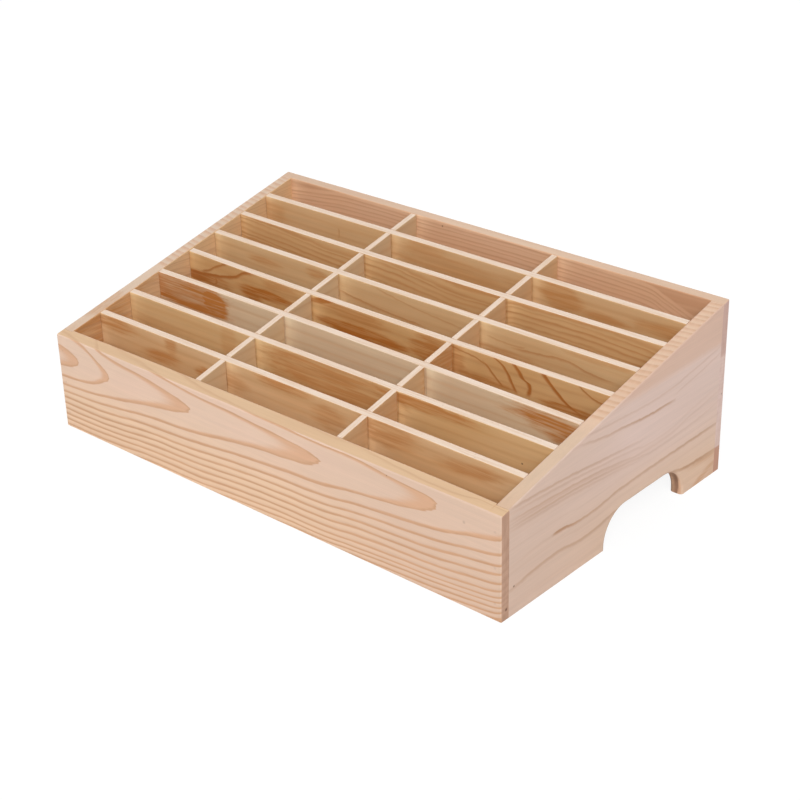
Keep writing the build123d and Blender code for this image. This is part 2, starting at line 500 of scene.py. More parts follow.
def mesh_object(name: str, vertices: Array, faces: Array, region: Array) -> Piece:
    """Puts a quad surface into a smooth-shaded mesh object that rides on the rack's one body.

    Args:
        name: The piece's name.
        vertices: Points (n, 3) in metres.
        faces: Corner numbers (m, 4).
        region: Material slot number of each face.

    Returns:
        The object, with its flat faces kept flat by area-weighted normals.
    """
    sharp_from, flat_first = math.radians(40), 100
    mesh = bpy.data.meshes.new(name)
    mesh.vertices.add(len(vertices))
    mesh.vertices.foreach_set("co", vertices.astype(np.float32).ravel())
    mesh.loops.add(faces.size)
    mesh.loops.foreach_set("vertex_index", faces.astype(np.int32).ravel())
    mesh.polygons.add(len(faces))
    mesh.polygons.foreach_set("loop_start", np.arange(0, faces.size, 4, dtype=np.int32))
    mesh.polygons.foreach_set("material_index", region.astype(np.int32))
    mesh.update(calc_edges=True)
    mesh.validate()
    mesh.polygons.foreach_set("use_smooth", np.ones(len(mesh.polygons), bool))
    mesh.set_sharp_from_angle(angle=sharp_from)
    piece = bpy.data.objects.new(name, mesh)
    bpy.context.scene.collection.objects.link(piece)
    weighted = piece.modifiers.new("even_normals", "WEIGHTED_NORMAL")
    weighted.keep_sharp = True
    weighted.weight = flat_first
    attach(piece, "root")
    return piece


def dress(piece: Piece, slot: str, *materials: bpy.types.Material) -> None:
    """Gives a piece its materials, in the order of its regions.

    Args:
        piece: The piece.
        slot: The record's material slot; not used.
        materials: One material for each region, or one for all.
    """
    if piece.data.materials:
        piece.data.materials.clear()
    for material in materials:
        piece.data.materials.append(material)


@dataclass
class FrameBoards:
    """The four boards of the rack's frame."""

    sizes: RackSizes
    outer_radius: float = 0.9
    inner_radius: float = 0.6
    joint_radius: float = 0.1
    foot_radius: float = 0.35
    hand_hold_rounding: float = 2.5
    hand_hold_steps: int = 14
    steep_grain: float = 0.35
    skin: float = 0.05
    station_step: float = 6.0
    corner_gap: float = 0.02
    rounding_gap: float = 0.05
    lap_station: float = 4.0
    front_hollow: float = 1.1

    @property
    def groove(self) -> tuple[float, float]:
        """Bottom and ceiling of the floor groove."""
        return self.sizes.floor_under, self.sizes.floor_top + self.sizes.groove_clearance

    def _stations(self, half_inside: float, *outside: float) -> tuple[Array, Array]:
        """Stations of a board that lies side to side, the same on the left and on the right.

        Args:
            half_inside: Half the length over which they are evenly spaced.
            outside: Distances from the middle of the stations beyond it, the outermost first.

        Returns:
            The stations, and which of them belong to the even part.
        """
        ends = np.array(outside)
        places = np.concatenate([-ends, even(-half_inside, half_inside, self.station_step), ends[::-1]])
        inside = np.zeros(len(places), bool)
        inside[len(ends) : -len(ends)] = True
        return places, inside

    def _level_board(
        self, name: str, places: Array, faces: tuple[float, Array | float], middle: Array | float,
        grooved: Array, softened: Array, seed: int,
    ) -> Piece:
        """Makes a board that lies side to side, bevelled to the slope, with rounded upper corners.

        Args:
            name: The piece's name.
            places: The stations along the board.
            faces: Places of its outer and inner faces between front and back.
            middle: The place at which the slope gives the height of its top edge.
            grooved: Which stations the floor's groove reaches.
            softened: Which stations have a softened inner edge; the others meet a side board.
            seed: Seed of the wobble.

        Returns:
            The piece.
        """
        s = self.sizes
        outer, inner = faces
        inner_edge = np.where(softened, self.inner_radius, self.joint_radius)
        return Plank(
            name=name, runs=Runs.SIDE_TO_SIDE, foot=at_height(places, self.skin),
            top=at_height(places, s.top_at(middle) - self.skin), outer=outer, inner=inner,
            arris=Arris(self.outer_radius, inner_edge, self.foot_radius, self.foot_radius),
            end=EndRounding(outer=self.outer_radius, inner=0.08, top=self.outer_radius, foot=0.3),
            bevel=s.slope, groove=self.groove, groove_depth=np.where(grooved, s.groove_depth, 0.0),
            seed=seed,
        ).build()

    def front(self) -> Piece:
        """The low front board, rebated at its ends over the side boards.

        Its inner face draws back towards the ends as the fourth power of the place along.

        Returns:
            The piece.
        """
        s = self.sizes
        shoulder = s.inner_half_width
        lap = (s.half_width - self.skin, shoulder + self.lap_station, shoulder)
        places, inside = self._stations(shoulder, *lap)
        hollow = self.front_hollow * (places / shoulder) ** 4
        inner = np.where(inside, s.front_inner - hollow, s.side_front)
        middle = (s.front_face + np.where(inside, s.front_inner, s.side_front)) / 2
        faces = (s.front_face + self.skin, inner)
        return self._level_board("front_board_planed", places, faces, middle, inside, inside, seed=11)

    def back(self) -> Piece:
        """The high back board, square-ended over the side boards' back ends.

        Returns:
            The piece.
        """
        s = self.sizes
        shoulder = s.inner_half_width + s.groove_depth
        places, inside = self._stations(shoulder, s.half_width - self.skin, shoulder)
        softened = np.abs(places) < s.inner_half_width
        faces = (s.back_face - self.skin, s.back_inner)
        middle = (s.back_inner + s.back_face) / 2
        return self._level_board("back_board_planed", places, faces, middle, inside, softened, seed=12)

    def _hand_hold(self) -> tuple[Array, Array]:
        """The hand-hold's outline from its front foot to its back foot: straight, arc, level, arc, straight.

        Returns:
            Points (n, 2) of the outline, and at each the direction into the wood.
        """
        s = self.sizes
        turn = np.linspace(0, QUARTER_TURN, self.hand_hold_steps + 1)
        radius, start = s.hand_hold_radius, s.hand_hold_straight
        outward = np.stack([-np.cos(turn), np.sin(turn)], axis=1)
        rise = np.array([s.hand_hold_front + radius, start]) + radius * outward
        mirror = np.array([-1.0, 1.0])
        fall = rise[::-1] * mirror + np.array([s.hand_hold_front + s.hand_hold_back, 0.0])
        ceiling = at_height(even(rise[-1, 0], fall[0, 0], self.station_step)[1:-1], start + radius)
        up = np.repeat([[0.0, 1.0]], len(ceiling), axis=0)
        feet = at_height(np.array([s.hand_hold_front, s.hand_hold_back]), self.skin)
        outline = np.vstack([feet[:1], rise, ceiling, fall, feet[1:]])
        into = np.vstack([[[-1.0, 0.0]], outward, up, outward[::-1] * mirror, [[1.0, 0.0]]])
        return outline, into

    def side(self, name: str, sign: int) -> Piece:
        """A side board with its sloping top and the hand-hold in its foot.

        The stations follow the foot and the hand-hold. Each one's top point stands straight above the place
        where its rounded foot edge meets the face, so that the station lines never cross.

        Args:
            name: The piece's name.
            sign: -1 for the left board, +1 for the right one.

        Returns:
            The piece.
        """
        s = self.sizes
        round_over = self.hand_hold_rounding
        beside = round_over + self.rounding_gap
        ahead = even(s.side_front + self.corner_gap, s.hand_hold_front - beside, self.station_step)
        behind = even(s.hand_hold_back + beside, s.back_inner - self.corner_gap, self.station_step)
        hold, hold_in = self._hand_hold()
        up = np.array([[0.0, 1.0]])
        foot = np.vstack([at_height(ahead, self.skin), hold, at_height(behind, self.skin)])
        foot_in = np.vstack([up.repeat(len(ahead), axis=0), hold_in, up.repeat(len(behind), axis=0)])
        rounding = np.full(len(foot), self.foot_radius)
        rounding[len(ahead) : -len(behind)] = round_over
        along = foot[:, 0] + foot_in[:, 0] * rounding
        return Plank(
            name=name, runs=Runs.FRONT_TO_BACK, foot=foot,
            top=at_height(along, s.top_at(along) - self.skin), outer=sign * (s.half_width - self.skin),
            inner=sign * s.inner_half_width,
            arris=Arris(self.outer_radius, self.inner_radius, rounding, rounding),
            end=EndRounding(outer=0.1, inner=0.05, top=0.1, foot=0.1), foot_in=foot_in, groove=self.groove,
            groove_depth=s.groove_depth, cut_foot=np.abs(foot_in[:, 0]) > self.steep_grain, wobble=0.04,
            seed=20 + sign,
        ).build()

    def dressed(self, finishes: "Finishes") -> list[Piece]:
        """Builds the four boards, dresses them and puts them in place of their construction nodes.

        Args:
            finishes: The rack's finishes.

        Returns:
            The boards, the front one first.
        """
        front, back = self.front(), self.back()
        dress(front, "front_pine", *finishes.front())
        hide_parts("front_board")
        dress(back, "back_pine", *finishes.back())
        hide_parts("back_board")
        boards = [front, back]
        for side_name, sign in (("left", -1), ("right", 1)):
            side = self.side(f"{side_name}_side_planed", sign)
            dress(side, "side_pine", *finishes.side(f"{side_name}_side_pine", sign))
            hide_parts(f"{side_name}_side_board")
            boards.append(side)
        return boards


@dataclass
class Lattice:
    """The two long dividers and the seven cross dividers halved over them."""

    sizes: RackSizes
    cross_flex: tuple[Flex, ...] = (
        Flex(0.62, -0.77, 0.17),
        Flex(0.85, -0.43, 0.63),
        Flex(0.74, -1.54, -0.83),
        Flex(0.05, 2.12, -0.34),
        Flex(0.16, 0.69, -0.23),
        Flex(-0.43, 1.69, 0.9),
        Flex(0.13, -0.6, -0.17),
    )
    long_flex: tuple[Flex, ...] = (Flex(-0.37, 0.62, -0.13), Flex(-0.76, 1.02, 0.0))
    edge_radius: float = 0.45
    foot_radius: float = 0.06
    end_gap: float = 0.18
    slot_gap: float = 0.12
    skin: float = 0.05
    station_step: float = 9.0

    def cross_at(self, row: int, x: float) -> float:
        """Where a cross divider's middle lies at a place across the rack."""
        return self.sizes.cross_places[row] + self.cross_flex[row].at(x / self.sizes.inner_half_width)

    def long_at(self, column: int, y: float) -> float:
        """Where a long divider's middle lies at a place between front and back.

        Args:
            column: Which divider, 0 the left one.
            y: The place.

        Returns:
            Its place across the rack.
        """
        s = self.sizes
        share = (2 * y - s.front_inner - s.back_inner) / (s.back_inner - s.front_inner)
        return s.long_places[column] + self.long_flex[column].at(share)

    def _walk(self, start: float, finish: float, crossings: list[float]) -> tuple[Array, Array]:
        """Stations along a divider, with two at each wall of each slot.

        Args:
            start: Place of the divider's first end.
            finish: Place of its last end.
            crossings: Places of the slots' middles, in rising order.

        Returns:
            The stations, and for each the number of the slot that it lies in, or -1 beside the slots.
        """
        half_slot = self.sizes.divider_thickness / 2 + self.slot_gap
        places, slots = [start], [-1]
        for number, middle in enumerate(crossings):
            low, high = middle - half_slot, middle + half_slot
            between = even(places[-1], low, self.station_step)[1:-1]
            places += [*between, low, low, high, high]
            slots += [-1] * (len(between) + 1) + [number, number, -1]
        between = even(places[-1], finish, self.station_step)[1:]
        return np.array([*places, *between]), np.array(slots + [-1] * len(between))

    def _strip(self, name: str, runs: Runs, place: float, **shape: object) -> Piece:
        """Makes a divider of the lattice's thickness and edges.

        Args:
            name: The piece's name.
            runs: Which way it lies.
            place: Where its middle lies across its length.
            shape: The Plank's outlines, bevel, flex, wobble and seed.

        Returns:
            The piece.
        """
        half = self.sizes.divider_thickness / 2
        return Plank(
            name=name, runs=runs, outer=place - half, inner=place + half,
            arris=Arris(self.edge_radius, self.edge_radius, self.foot_radius, self.foot_radius),
            end=EndRounding(outer=0.1, inner=0.1, top=0.1, foot=0.05), arc_steps=3, face_rows=3,
            **shape,
        ).build()

    def cross(self, row: int) -> Piece:
        """A cross divider, slotted from below over the long dividers.

        Args:
            row: Which divider, 0 the front one.

        Returns:
            The piece.
        """
        s = self.sizes
        middle, limit = s.cross_places[row], s.inner_half_width - self.end_gap
        crossings = [self.long_at(column, middle) for column in range(s.column_count - 1)]
        along, slots = self._walk(-limit, limit, crossings)
        foot = at_height(along, np.where(slots < 0, s.floor_top, s.lap_at(middle) + self.slot_gap))
        top = at_height(along, s.top_at(middle) - self.skin)
        return self._strip(
            f"cross_divider_{row + 1}_planed", Runs.SIDE_TO_SIDE, middle, foot=foot, top=top, bevel=s.slope,
            flex=self.cross_flex[row], seed=40 + row,
        )

    def long(self, column: int) -> Piece:
        """A long divider, slotted from the top for the cross dividers.

        Args:
            column: Which divider, 0 the left one.

        Returns:
            The piece.
        """
        s = self.sizes
        x = s.long_places[column]
        crossings = [self.cross_at(row, x) for row in range(s.row_count - 1)]
        along, slots = self._walk(s.front_inner + self.end_gap, s.back_inner - self.end_gap, crossings)
        dips = np.array([*(s.top_at(y) - s.lap_at(y) for y in crossings), 0.0])[slots]
        foot = at_height(along, s.floor_top)
        top = at_height(along, s.top_at(along) - self.skin - dips)
        return self._strip(
            f"long_divider_{column + 1}_planed", Runs.FRONT_TO_BACK, x, foot=foot, top=top,
            flex=self.long_flex[column], wobble=0.04, seed=60 + column,
        )

    def dressed(self, finishes: "Finishes") -> list[Piece]:
        """Builds the dividers, dresses them and puts them in place of their construction nodes.

        Args:
            finishes: The rack's finishes.

        Returns:
            The dividers, the cross ones first.
        """
        dividers = []
        for row in range(self.sizes.row_count - 1):
            piece = self.cross(row)
            dress(piece, "divider_pine", *finishes.cross_divider(row))
            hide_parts(f"cross_divider_{row + 1}")
            dividers.append(piece)
        for column in range(self.sizes.column_count - 1):
            piece = self.long(column)
            dress(piece, "divider_pine", *finishes.long_divider(column))
            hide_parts(f"long_divider_{column + 1}")
            dividers.append(piece)
        return dividers


@dataclass(frozen=True)
class Field:
    """A number that varies over a surface: the output of one shader node, with arithmetic on it."""

    work: "NodeWork"
    socket: Socket

    def __add__(self, other: "Field | float") -> "Field":
        """Sum."""
        return self.work.math("ADD", self, other)

    __radd__ = __add__

    def __sub__(self, other: "Field | float") -> "Field":
        """Difference."""
        return self.work.math("SUBTRACT", self, other)

    def __rsub__(self, other: float) -> "Field":
        """Difference from a plain number."""
        return self.work.math("SUBTRACT", other, self)

    def __mul__(self, other: "Field | float") -> "Field":
        """Product."""
        return self.work.math("MULTIPLY", self, other)

    __rmul__ = __mul__

    def __truediv__(self, other: "Field | float") -> "Field":
        """Quotient."""
        return self.work.math("DIVIDE", self, other)

    def part(self) -> "Field":
        """What is left above the whole number below."""
        return self.work.math("FRACT", self)

    def largest(self, other: "Field | float") -> "Field":
        """The larger of two numbers."""
        return self.work.math("MAXIMUM", self, other)

    def swing(self, width: float) -> "Field":
        """Turns a number from 0 to 1 into one that swings about zero, width wide in all."""
        return (self - 0.5) * width

    def ease(self, low: float, high: float) -> "Field":
        """A smooth step from 0 at low to 1 at high; low may be the larger.

        Args:
            low: Where the step is 0.
            high: Where it is 1.

        Returns:
            The step.
        """
        made = self.work.node("ShaderNodeMapRange", interpolation_type="SMOOTHSTEP")
        limits = (low, high, 0.0, 1.0) if low <= high else (high, low, 1.0, 0.0)
        self.work.feed(made.inputs["Value"], self)
        for name, limit in zip(("From Min", "From Max", "To Min", "To Max"), limits):
            made.inputs[name].default_value = limit
        return Field(self.work, made.outputs[0])

    def curve(self, points: Points, straight: bool = False) -> "Field":
        """A curve through chosen points, level beyond the first and the last.

        Args:
            points: Pairs of place and value, in rising order of place.
            straight: Whether the points are joined by straight lines instead of a smooth one.

        Returns:
            The curve's value at this number.
        """
        least_rise = 1e-6
        values = [value for _, value in points]
        start, span = points[0][0], points[-1][0] - points[0][0]
        base, rise = min(values), max(max(values) - min(values), least_rise)
        made = self.work.node("ShaderNodeFloatCurve")
        line = made.mapping.curves[0]
        line.points[0].location = (0.0, (values[0] - base) / rise)
        line.points[-1].location = (1.0, (values[-1] - base) / rise)
        for place, value in points[1:-1]:
            line.points.new((place - start) / span, (value - base) / rise)
        for point in line.points:
            point.handle_type = "VECTOR" if straight else "AUTO"
        made.mapping.extend = "HORIZONTAL"
        made.mapping.update()
        self.work.feed(made.inputs["Value"], (self - start) / span)
        return Field(self.work, made.outputs[0]) * rise + base


class NodeWork:
    """The node tree of a material or of the world, emptied, with short calls for building it."""

    def __init__(self, owner: bpy.types.Material | bpy.types.World) -> None:
        """Turns on the owner's tree and empties it.

        Args:
            owner: The material or the world.
        """
        owner.use_nodes = True
        self.tree = owner.node_tree
        self.tree.nodes.clear()

    def node(self, kind: str, **settings: object) -> bpy.types.Node:
        """Adds a node.

        Args:
            kind: Its type.
            settings: Its properties by name.

        Returns:
            The node.
        """
        made = self.tree.nodes.new(kind)
        for name, value in settings.items():
            setattr(made, name, value)
        return made

    def feed(self, target: Socket, value: Field | Socket | float | tuple) -> None:
        """Links a socket to a source, or sets it where the source is a plain value.

        Args:
            target: The socket.
            value: A field, another socket, a number, or a colour of three channels.
        """
        if isinstance(value, Field):
            value = value.socket
        if isinstance(value, Socket):
            self.tree.links.new(value, target)
        else:
            target.default_value = (*value, 1.0) if isinstance(value, tuple) and len(value) == 3 else value

    def math(self, operation: str, *values: Field | Socket | float) -> Field:
        """Adds a Math node.

        Args:
            operation: What it does.
            values: What it does it to.

        Returns:
            Its result.
        """
        made = self.node("ShaderNodeMath", operation=operation)
        for target, value in zip(made.inputs, values):
            self.feed(target, value)
        return Field(self, made.outputs[0])

    def shader(self, kind: str, **inputs: Field | float | tuple) -> Socket:
        """Adds a shader node.

        Args:
            kind: Its type.
            inputs: What its sockets take, by name.

        Returns:
            Its output.
        """
        made = self.node(kind)
        for name, value in inputs.items():
            self.feed(made.inputs[name], value)
        return made.outputs[0]

    def show_blend(self, output: str, share: Field, *shaders: Socket) -> None:
        """Sends out a blend of two shaders.

        Args:
            output: The output node's type.
            share: How much of the second one shows.
            shaders: The two shaders.
        """
        blend = self.node("ShaderNodeMixShader")
        for target, value in zip(blend.inputs, (share, *shaders)):
            self.feed(target, value)
        self.feed(self.node(output).inputs[0], blend.outputs[0])


class Sheet(NodeWork):
    """One new material, with short calls for what the finishes share."""

    def __init__(self, name: str) -> None:
        """Starts the material with a Principled shader and an output.

        Args:
            name: The material's name.
        """
        self.material = bpy.data.materials.new(name)
        super().__init__(self.material)
        self.principled = self.node("ShaderNodeBsdfPrincipled")
        output = self.node("ShaderNodeOutputMaterial")
        self.feed(output.inputs["Surface"], self.principled.outputs["BSDF"])

    def mix(self, share: Field | float, first: object, second: object, blend: str = "MIX") -> Socket:
        """A blend of two colours.

        Args:
            share: How much of the second one shows.
            first: A colour, or the socket of one.
            second: The other one.
            blend: How they blend.

        Returns:
            The blend's socket.
        """
        made = self.node("ShaderNodeMix", data_type="RGBA", blend_type=blend)
        colour_inputs = (made.inputs[0], made.inputs[6], made.inputs[7])
        for target, value in zip(colour_inputs, (share, first, second)):
            self.feed(target, value)
        return made.outputs[2]

    def toned(self, colour: Socket, tone: Field) -> Socket:
        """A colour made lighter or darker, each channel times the tone.

        Args:
            colour: The colour's socket.
            tone: What it is multiplied by, about 1.

        Returns:
            The toned colour's socket.
        """
        grey = self.node("ShaderNodeCombineColor")
        for channel in grey.inputs:
            self.feed(channel, tone)
        return self.mix(1.0, colour, grey.outputs[0], "MULTIPLY")

    def finish(self, bump: Field, relief: float, **inputs: object) -> bpy.types.Material:
        """Raises the surface and gives the shader its inputs.

        Args:
            bump: The surface's height, from 0 to 1.
            relief: Its full height in millimetres.
            inputs: What the shader's sockets take, by name, with _ for a space.

        Returns:
            The material.
        """
        raised = self.node("ShaderNodeBump")
        raised.inputs["Strength"].default_value = 1.0
        raised.inputs["Distance"].default_value = relief * MM
        self.feed(raised.inputs["Height"], bump)
        self.feed(self.principled.inputs["Normal"], raised.outputs[0])
        for name, value in inputs.items():
            self.feed(self.principled.inputs[name.replace("_", " ")], value)
        return self.material


@dataclass(frozen=True)
class Lumps:
    """The lumps of a noise, their sizes in millimetres along, up and across the board.

    Where a span is given, the noise is eased from 0 at its first value to 1 at its second, to leave patches.
    """

    sizes: Triple
    detail: float = 2.0
    rough: float = 0.5
    span: tuple[float, float] | None = None


FIBRE = Lumps((26.0, 0.55, 0.55), 3.0, 0.6)
STREAKS = Lumps((90.0, 2.6, 2.6))
BLUSH = Lumps((75.0, 26.0, 26.0), 1.0, span=(0.32, 0.68))
RING_WEIGHT = Lumps((120.0, 4.0, 4.0), 1.0, span=(0.3, 0.65))
ARCH_DRIFT = Lumps((60.0, 14.0, 14.0))
LEVEL_DRIFT = Lumps((55.0, 14.0, 14.0))
JITTER = Lumps((11.0, 3.0, 3.0), 1.0)
FLAME = Lumps((34.0, 1.9, 1.9))
SHAKE = Lumps((5.0, 5.0, 5.0))
RAGGED_ENDS = Lumps((16.0, 2.8, 2.8), 3.0, 0.6)
HEART_STREAKS = Lumps((34.0, 1.7, 1.7), 2.0, 0.6, span=(0.3, 0.62))
SAWN_TINT = Lumps((30.0, 6.0, 1.2), span=(0.35, 0.7))
SAWN_PORES = Lumps((3.2, 1.0, 0.5), 2.0, 0.6, span=(0.66, 0.76))
SAWN_FUZZ = Lumps((1.5, 0.4, 0.4), 2.0, 0.7)
END_PORES = Lumps((0.5, 0.35, 0.35), 2.0, 0.7)
END_BLOTCHES = Lumps((6.0, 9.0, 2.0), span=(0.35, 0.7))
DRAWING_MARKS = Lumps((0.4, 0.15, 0.15))

DRIFT_REACH = 5.0
JITTER_REACH = 1.6
NO_CHANGE = ((0.0, 1.0), (120.0, 1.0))


@dataclass(frozen=True)
class BoardSpace:
    """A board's own directions as fields in millimetres: along its length, up, and across its thickness."""

    along: Field
    height: Field
    across: Field
    place: Socket

    @classmethod
    def of(cls, sheet: Sheet, runs: Runs, seed: float) -> "BoardSpace":
        """Reads the object's coordinates and puts the board's length first.

        Args:
            sheet: The material's tree.
            runs: Which way the board's length lies.
            seed: Moves the noise, so that no two boards share it.

        Returns:
            The board's space.
        """
        move_along, move_up = 971.0, 313.0
        source = sheet.node("ShaderNodeTexCoord")
        parts = sheet.node("ShaderNodeSeparateXYZ")
        sheet.feed(parts.inputs[0], source.outputs["Object"])
        x, y, z = (Field(sheet, output) / MM for output in parts.outputs)
        along, across = (x, y) if runs is Runs.SIDE_TO_SIDE else (y, x)
        place = sheet.node("ShaderNodeCombineXYZ")
        for target, value in zip(place.inputs, (along + move_along * seed, z + move_up * seed, across)):
            sheet.feed(target, value)
        return cls(along, z, across, place.outputs[0])

    def noise(self, lumps: Lumps) -> Field:
        """Noise from 0 to 1 through the board.

        Args:
            lumps: Its sizes and fineness.

        Returns:
            The noise, eased where the lumps have a span.
        """
        work = self.along.work
        scaled = work.node("ShaderNodeVectorMath", operation="DIVIDE")
        work.feed(scaled.inputs[0], self.place)
        scaled.inputs[1].default_value = lumps.sizes
        made = work.node("ShaderNodeTexNoise")
        work.feed(made.inputs["Vector"], scaled.outputs[0])
        made.inputs["Scale"].default_value = 1.0
        made.inputs["Detail"].default_value = lumps.detail
        made.inputs["Roughness"].default_value = lumps.rough
        noise = Field(work, made.outputs["Fac"])
        return noise.ease(*lumps.span) if lumps.span else noise

    def stray(self, drift: Lumps, wander: float) -> Field:
        """How far the rings stray from their course, in millimetres: a slow drift and a quick jitter."""
        slow = self.noise(drift).swing(DRIFT_REACH * wander)
        return slow + self.noise(JITTER).swing(JITTER_REACH * wander)


def distance(side: Field, rise: Field) -> Field:
    """Distance from a middle: the root of side squared + rise squared."""
    return side.work.math("SQRT", side * side + rise * rise)


def ring_steps(marks: tuple[float, ...], width: float, band: float) -> Points:
    """A curve of ring numbers that climbs quickly just before each ring's end and slowly between.

    Mark k gives two points: at mark - width the number k - band, and at the mark k. Where rings are close,
    the width gives way to most of the ring.

    Args:
        marks: Where the rings end, in rising order, in millimetres.
        width: Width of the late wood before each mark.
        band: The share of a ring that is drawn as late wood.

    Returns:
        The curve's points.
    """
    first_ring, most_of_ring = 4 * width, 0.8
    points = []
    before = marks[0] - first_ring
    for number, mark in enumerate(marks, start=1):
        reach = min(width, most_of_ring * (mark - before))
        points += [(mark - reach, number - band), (mark, float(number))]
        before = mark
    return tuple(points)


@dataclass(frozen=True)
class RingField:
    """Where a point lies between rings, as fields that are 0 at a ring's end.

    near grows to 1 where the ring's dark line begins, fill to 1 where its warm late wood begins, and past, on
    the other side of the ring's end, to 1 where the dark has gone.
    """

    near: Field
    past: Field
    fill: Field

    def late(self) -> Field:
        """How dark the late wood is, from 0 to 1."""
        rising = self.near.ease(1.0, 0.0)
        return (rising * rising).largest(self.past.ease(1.0, 0.0))

    def glow(self) -> Field:
        """How warm the late wood is, from 0 to 1, and full some way before the ring's end."""
        full_at = 0.35
        return self.fill.ease(1.0, full_at).largest(self.past.ease(1.0, 0.0))


@dataclass(frozen=True)
class ConeRings:
    """Rings round a pith that runs behind the face and drifts away from it, which gives pointed arches.

    A ring's radius is the root of (height - pith height) squared + (pith depth + depth in the board) squared,
    with curves of the place along for the pith. Above the pith heights count for more by the stretch, and
    just below it for less by the nose, which blunts an arch on its lower side. A distance between rings is
    divided by the radius's slope, the root of (height's share in the radius) squared + drift squared, so that
    the dark line keeps its width on the face. It is thicker well below the pith.
    """

    marks: tuple[float, ...]
    pith_height: Points
    pith_depth: Points
    stretch: Points
    nose: Points
    face: float
    inward: float = 0.25
    gap: float = 3.3
    drift: float = 0.05
    thin_line: float = 2.1
    thick_line: float = 3.6
    thin_above: float = -6.0
    thick_below: float = -26.0
    nose_full: float = -6.0
    nose_end: float = -15.0
    outer_line: float = 0.8
    wander: float = 0.4
    flame: float = 0.25

    def field(self, space: BoardSpace, band: float) -> RingField:
        """Where each point lies between the rings, and how near on the face.

        Args:
            space: The board's space.
            band: The share of a ring that is drawn as warm late wood.

        Returns:
            The rings.
        """
        along = space.along
        rise = space.height + space.stray(ARCH_DRIFT, self.wander) - along.curve(self.pith_height)
        above = rise.largest(0.0)
        nose = (1.0 - along.curve(self.nose)) * rise.ease(self.nose_end, self.nose_full)
        rise = rise + above * (along.curve(self.stretch) - 1.0) - (rise - above) * nose
        inset = along.curve(self.pith_depth) + (space.across - self.face) * self.inward
        radius = distance(rise, inset)
        share = rise / radius
        slope = space.along.work.math("SQRT", share * share + self.drift**2)
        numbers = tuple((mark, float(number)) for number, mark in enumerate(self.marks, start=1))
        before = (self.marks[0] - self.gap / 2, 0.5)
        part = (radius + space.noise(FLAME).swing(self.flame)).curve((before, *numbers), straight=True).part()
        left = 1.0 - part
        thicker = rise.ease(self.thin_above, self.thick_below)
        line = thicker * (self.thick_line - self.thin_line) + self.thin_line
        near = left * self.gap / slope / line
        past = part * (self.gap / self.outer_line) / slope
        return RingField(near, past, left / band)


@dataclass(frozen=True)
class LevelRings:
    """Rings that lie nearly level in the board and rise and dip along it.

    The level of a point is its height less a drift, a curve of the place along. Each drift curve holds at one
    height, and between two of them the drift passes smoothly from one to the other.
    """

    marks: tuple[float, ...]
    drifts: tuple[tuple[float, Points], ...]
    face: float
    tilt: float = 0.15
    width: float = 1.3
    fall: float = 0.14
    wander: float = 0.4

    def field(self, space: BoardSpace, band: float) -> RingField:
        """Where each point lies between the rings.

        Args:
            space: The board's space.
            band: The share of a ring that is drawn as late wood.

        Returns:
            The rings.
        """
        below, first = self.drifts[0]
        shift = space.along.curve(first)
        for height, points in self.drifts[1:]:
            share = space.height.ease(below, height)
            shift = shift + (space.along.curve(points) - shift) * share
            below = height
        stray = space.stray(LEVEL_DRIFT, self.wander)
        level = space.height - shift + stray + (space.across - self.face) * self.tilt
        part = level.curve(ring_steps(self.marks, self.width, band), straight=True).part()
        fill = (1.0 - part) / band
        return RingField(fill, part / self.fall, fill)


@dataclass(frozen=True)
class Stain:
    """A patch of darker heartwood with ragged ends, as an ellipse along the grain, in millimetres."""

    along: float
    height: float
    half_length: float
    half_height: float
    strength: float = 1.0
    lean: float = 0.0
    soft: float = 0.8
    ragged: float = 1.2

    def share(self, space: BoardSpace, noise: Field) -> Field:
        """How much of the stain shows at each point.

        Args:
            space: The board's space.
            noise: What makes its ends ragged.

        Returns:
            The share, from 0 to the stain's strength.
        """
        side = (space.along - self.along) / self.half_length
        rise = (space.height - self.height - (space.along - self.along) * self.lean) / self.half_height
        reach = distance(side, rise) + noise * self.ragged
        return reach.ease(1.0 + self.soft / 2, 1.0 - self.soft / 2) * self.strength


@dataclass(frozen=True)
class RingLine:
    """One ring line drawn through points (along, height), dark with one soft side.

    A steep line is read as a place along for each height, another as a height for each place along. It fades
    out beyond its ends over the share end_fade of its length, and on its soft side it is full within the
    share full_within of soft. Weights are a curve along the line that its strength is multiplied by.
    """

    points: Points
    steep: bool = False
    soft: float = 1.6
    hard: float = 0.4
    strength: float = 1.0
    weights: Points = ()
    end_fade: float = 0.12
    full_within: float = 0.15

    def share(self, space: BoardSpace, shake: Field) -> Field:
        """How dark the line is at each point.

        Args:
            space: The board's space.
            shake: How far the line is shaken off its course, in millimetres.

        Returns:
            The darkness, from 0 to the line's strength.
        """
        runs, offset = (space.height, space.along) if self.steep else (space.along, space.height)
        points = tuple(sorted((b, a) if self.steep else (a, b) for a, b in self.points))
        away = offset + shake - runs.curve(points)
        near, far = points[0][0], points[-1][0]
        fade = self.end_fade * (far - near)
        ends = runs.ease(near - fade, near + fade) * runs.ease(far + fade, far - fade)
        if self.weights:
            ends = ends * runs.curve(self.weights)
        soft_side = away.ease(-self.soft, -self.full_within * self.soft)
        return soft_side * away.ease(self.hard, 0.0) * ends * self.strength


@dataclass(frozen=True)
class Zone:
    """A part of a board with another tone: curves of height, place along and place across, multiplied."""

    colour: Colour
    by_height: Points = NO_CHANGE
    by_place: Points = ()
    by_depth: Points = ()

    def share(self, space: BoardSpace, shake: Field) -> Field:
        """How much of the tone shows at each point.

        Args:
            space: The board's space.
            shake: How far the zone's limits are shaken, in millimetres.

        Returns:
            The share, from 0 to 1.
        """
        share = (space.height + shake).curve(self.by_height)
        if self.by_place:
            share = share * (space.along + shake).curve(self.by_place)
        if self.by_depth:
            share = share * space.across.curve(self.by_depth)
        return share


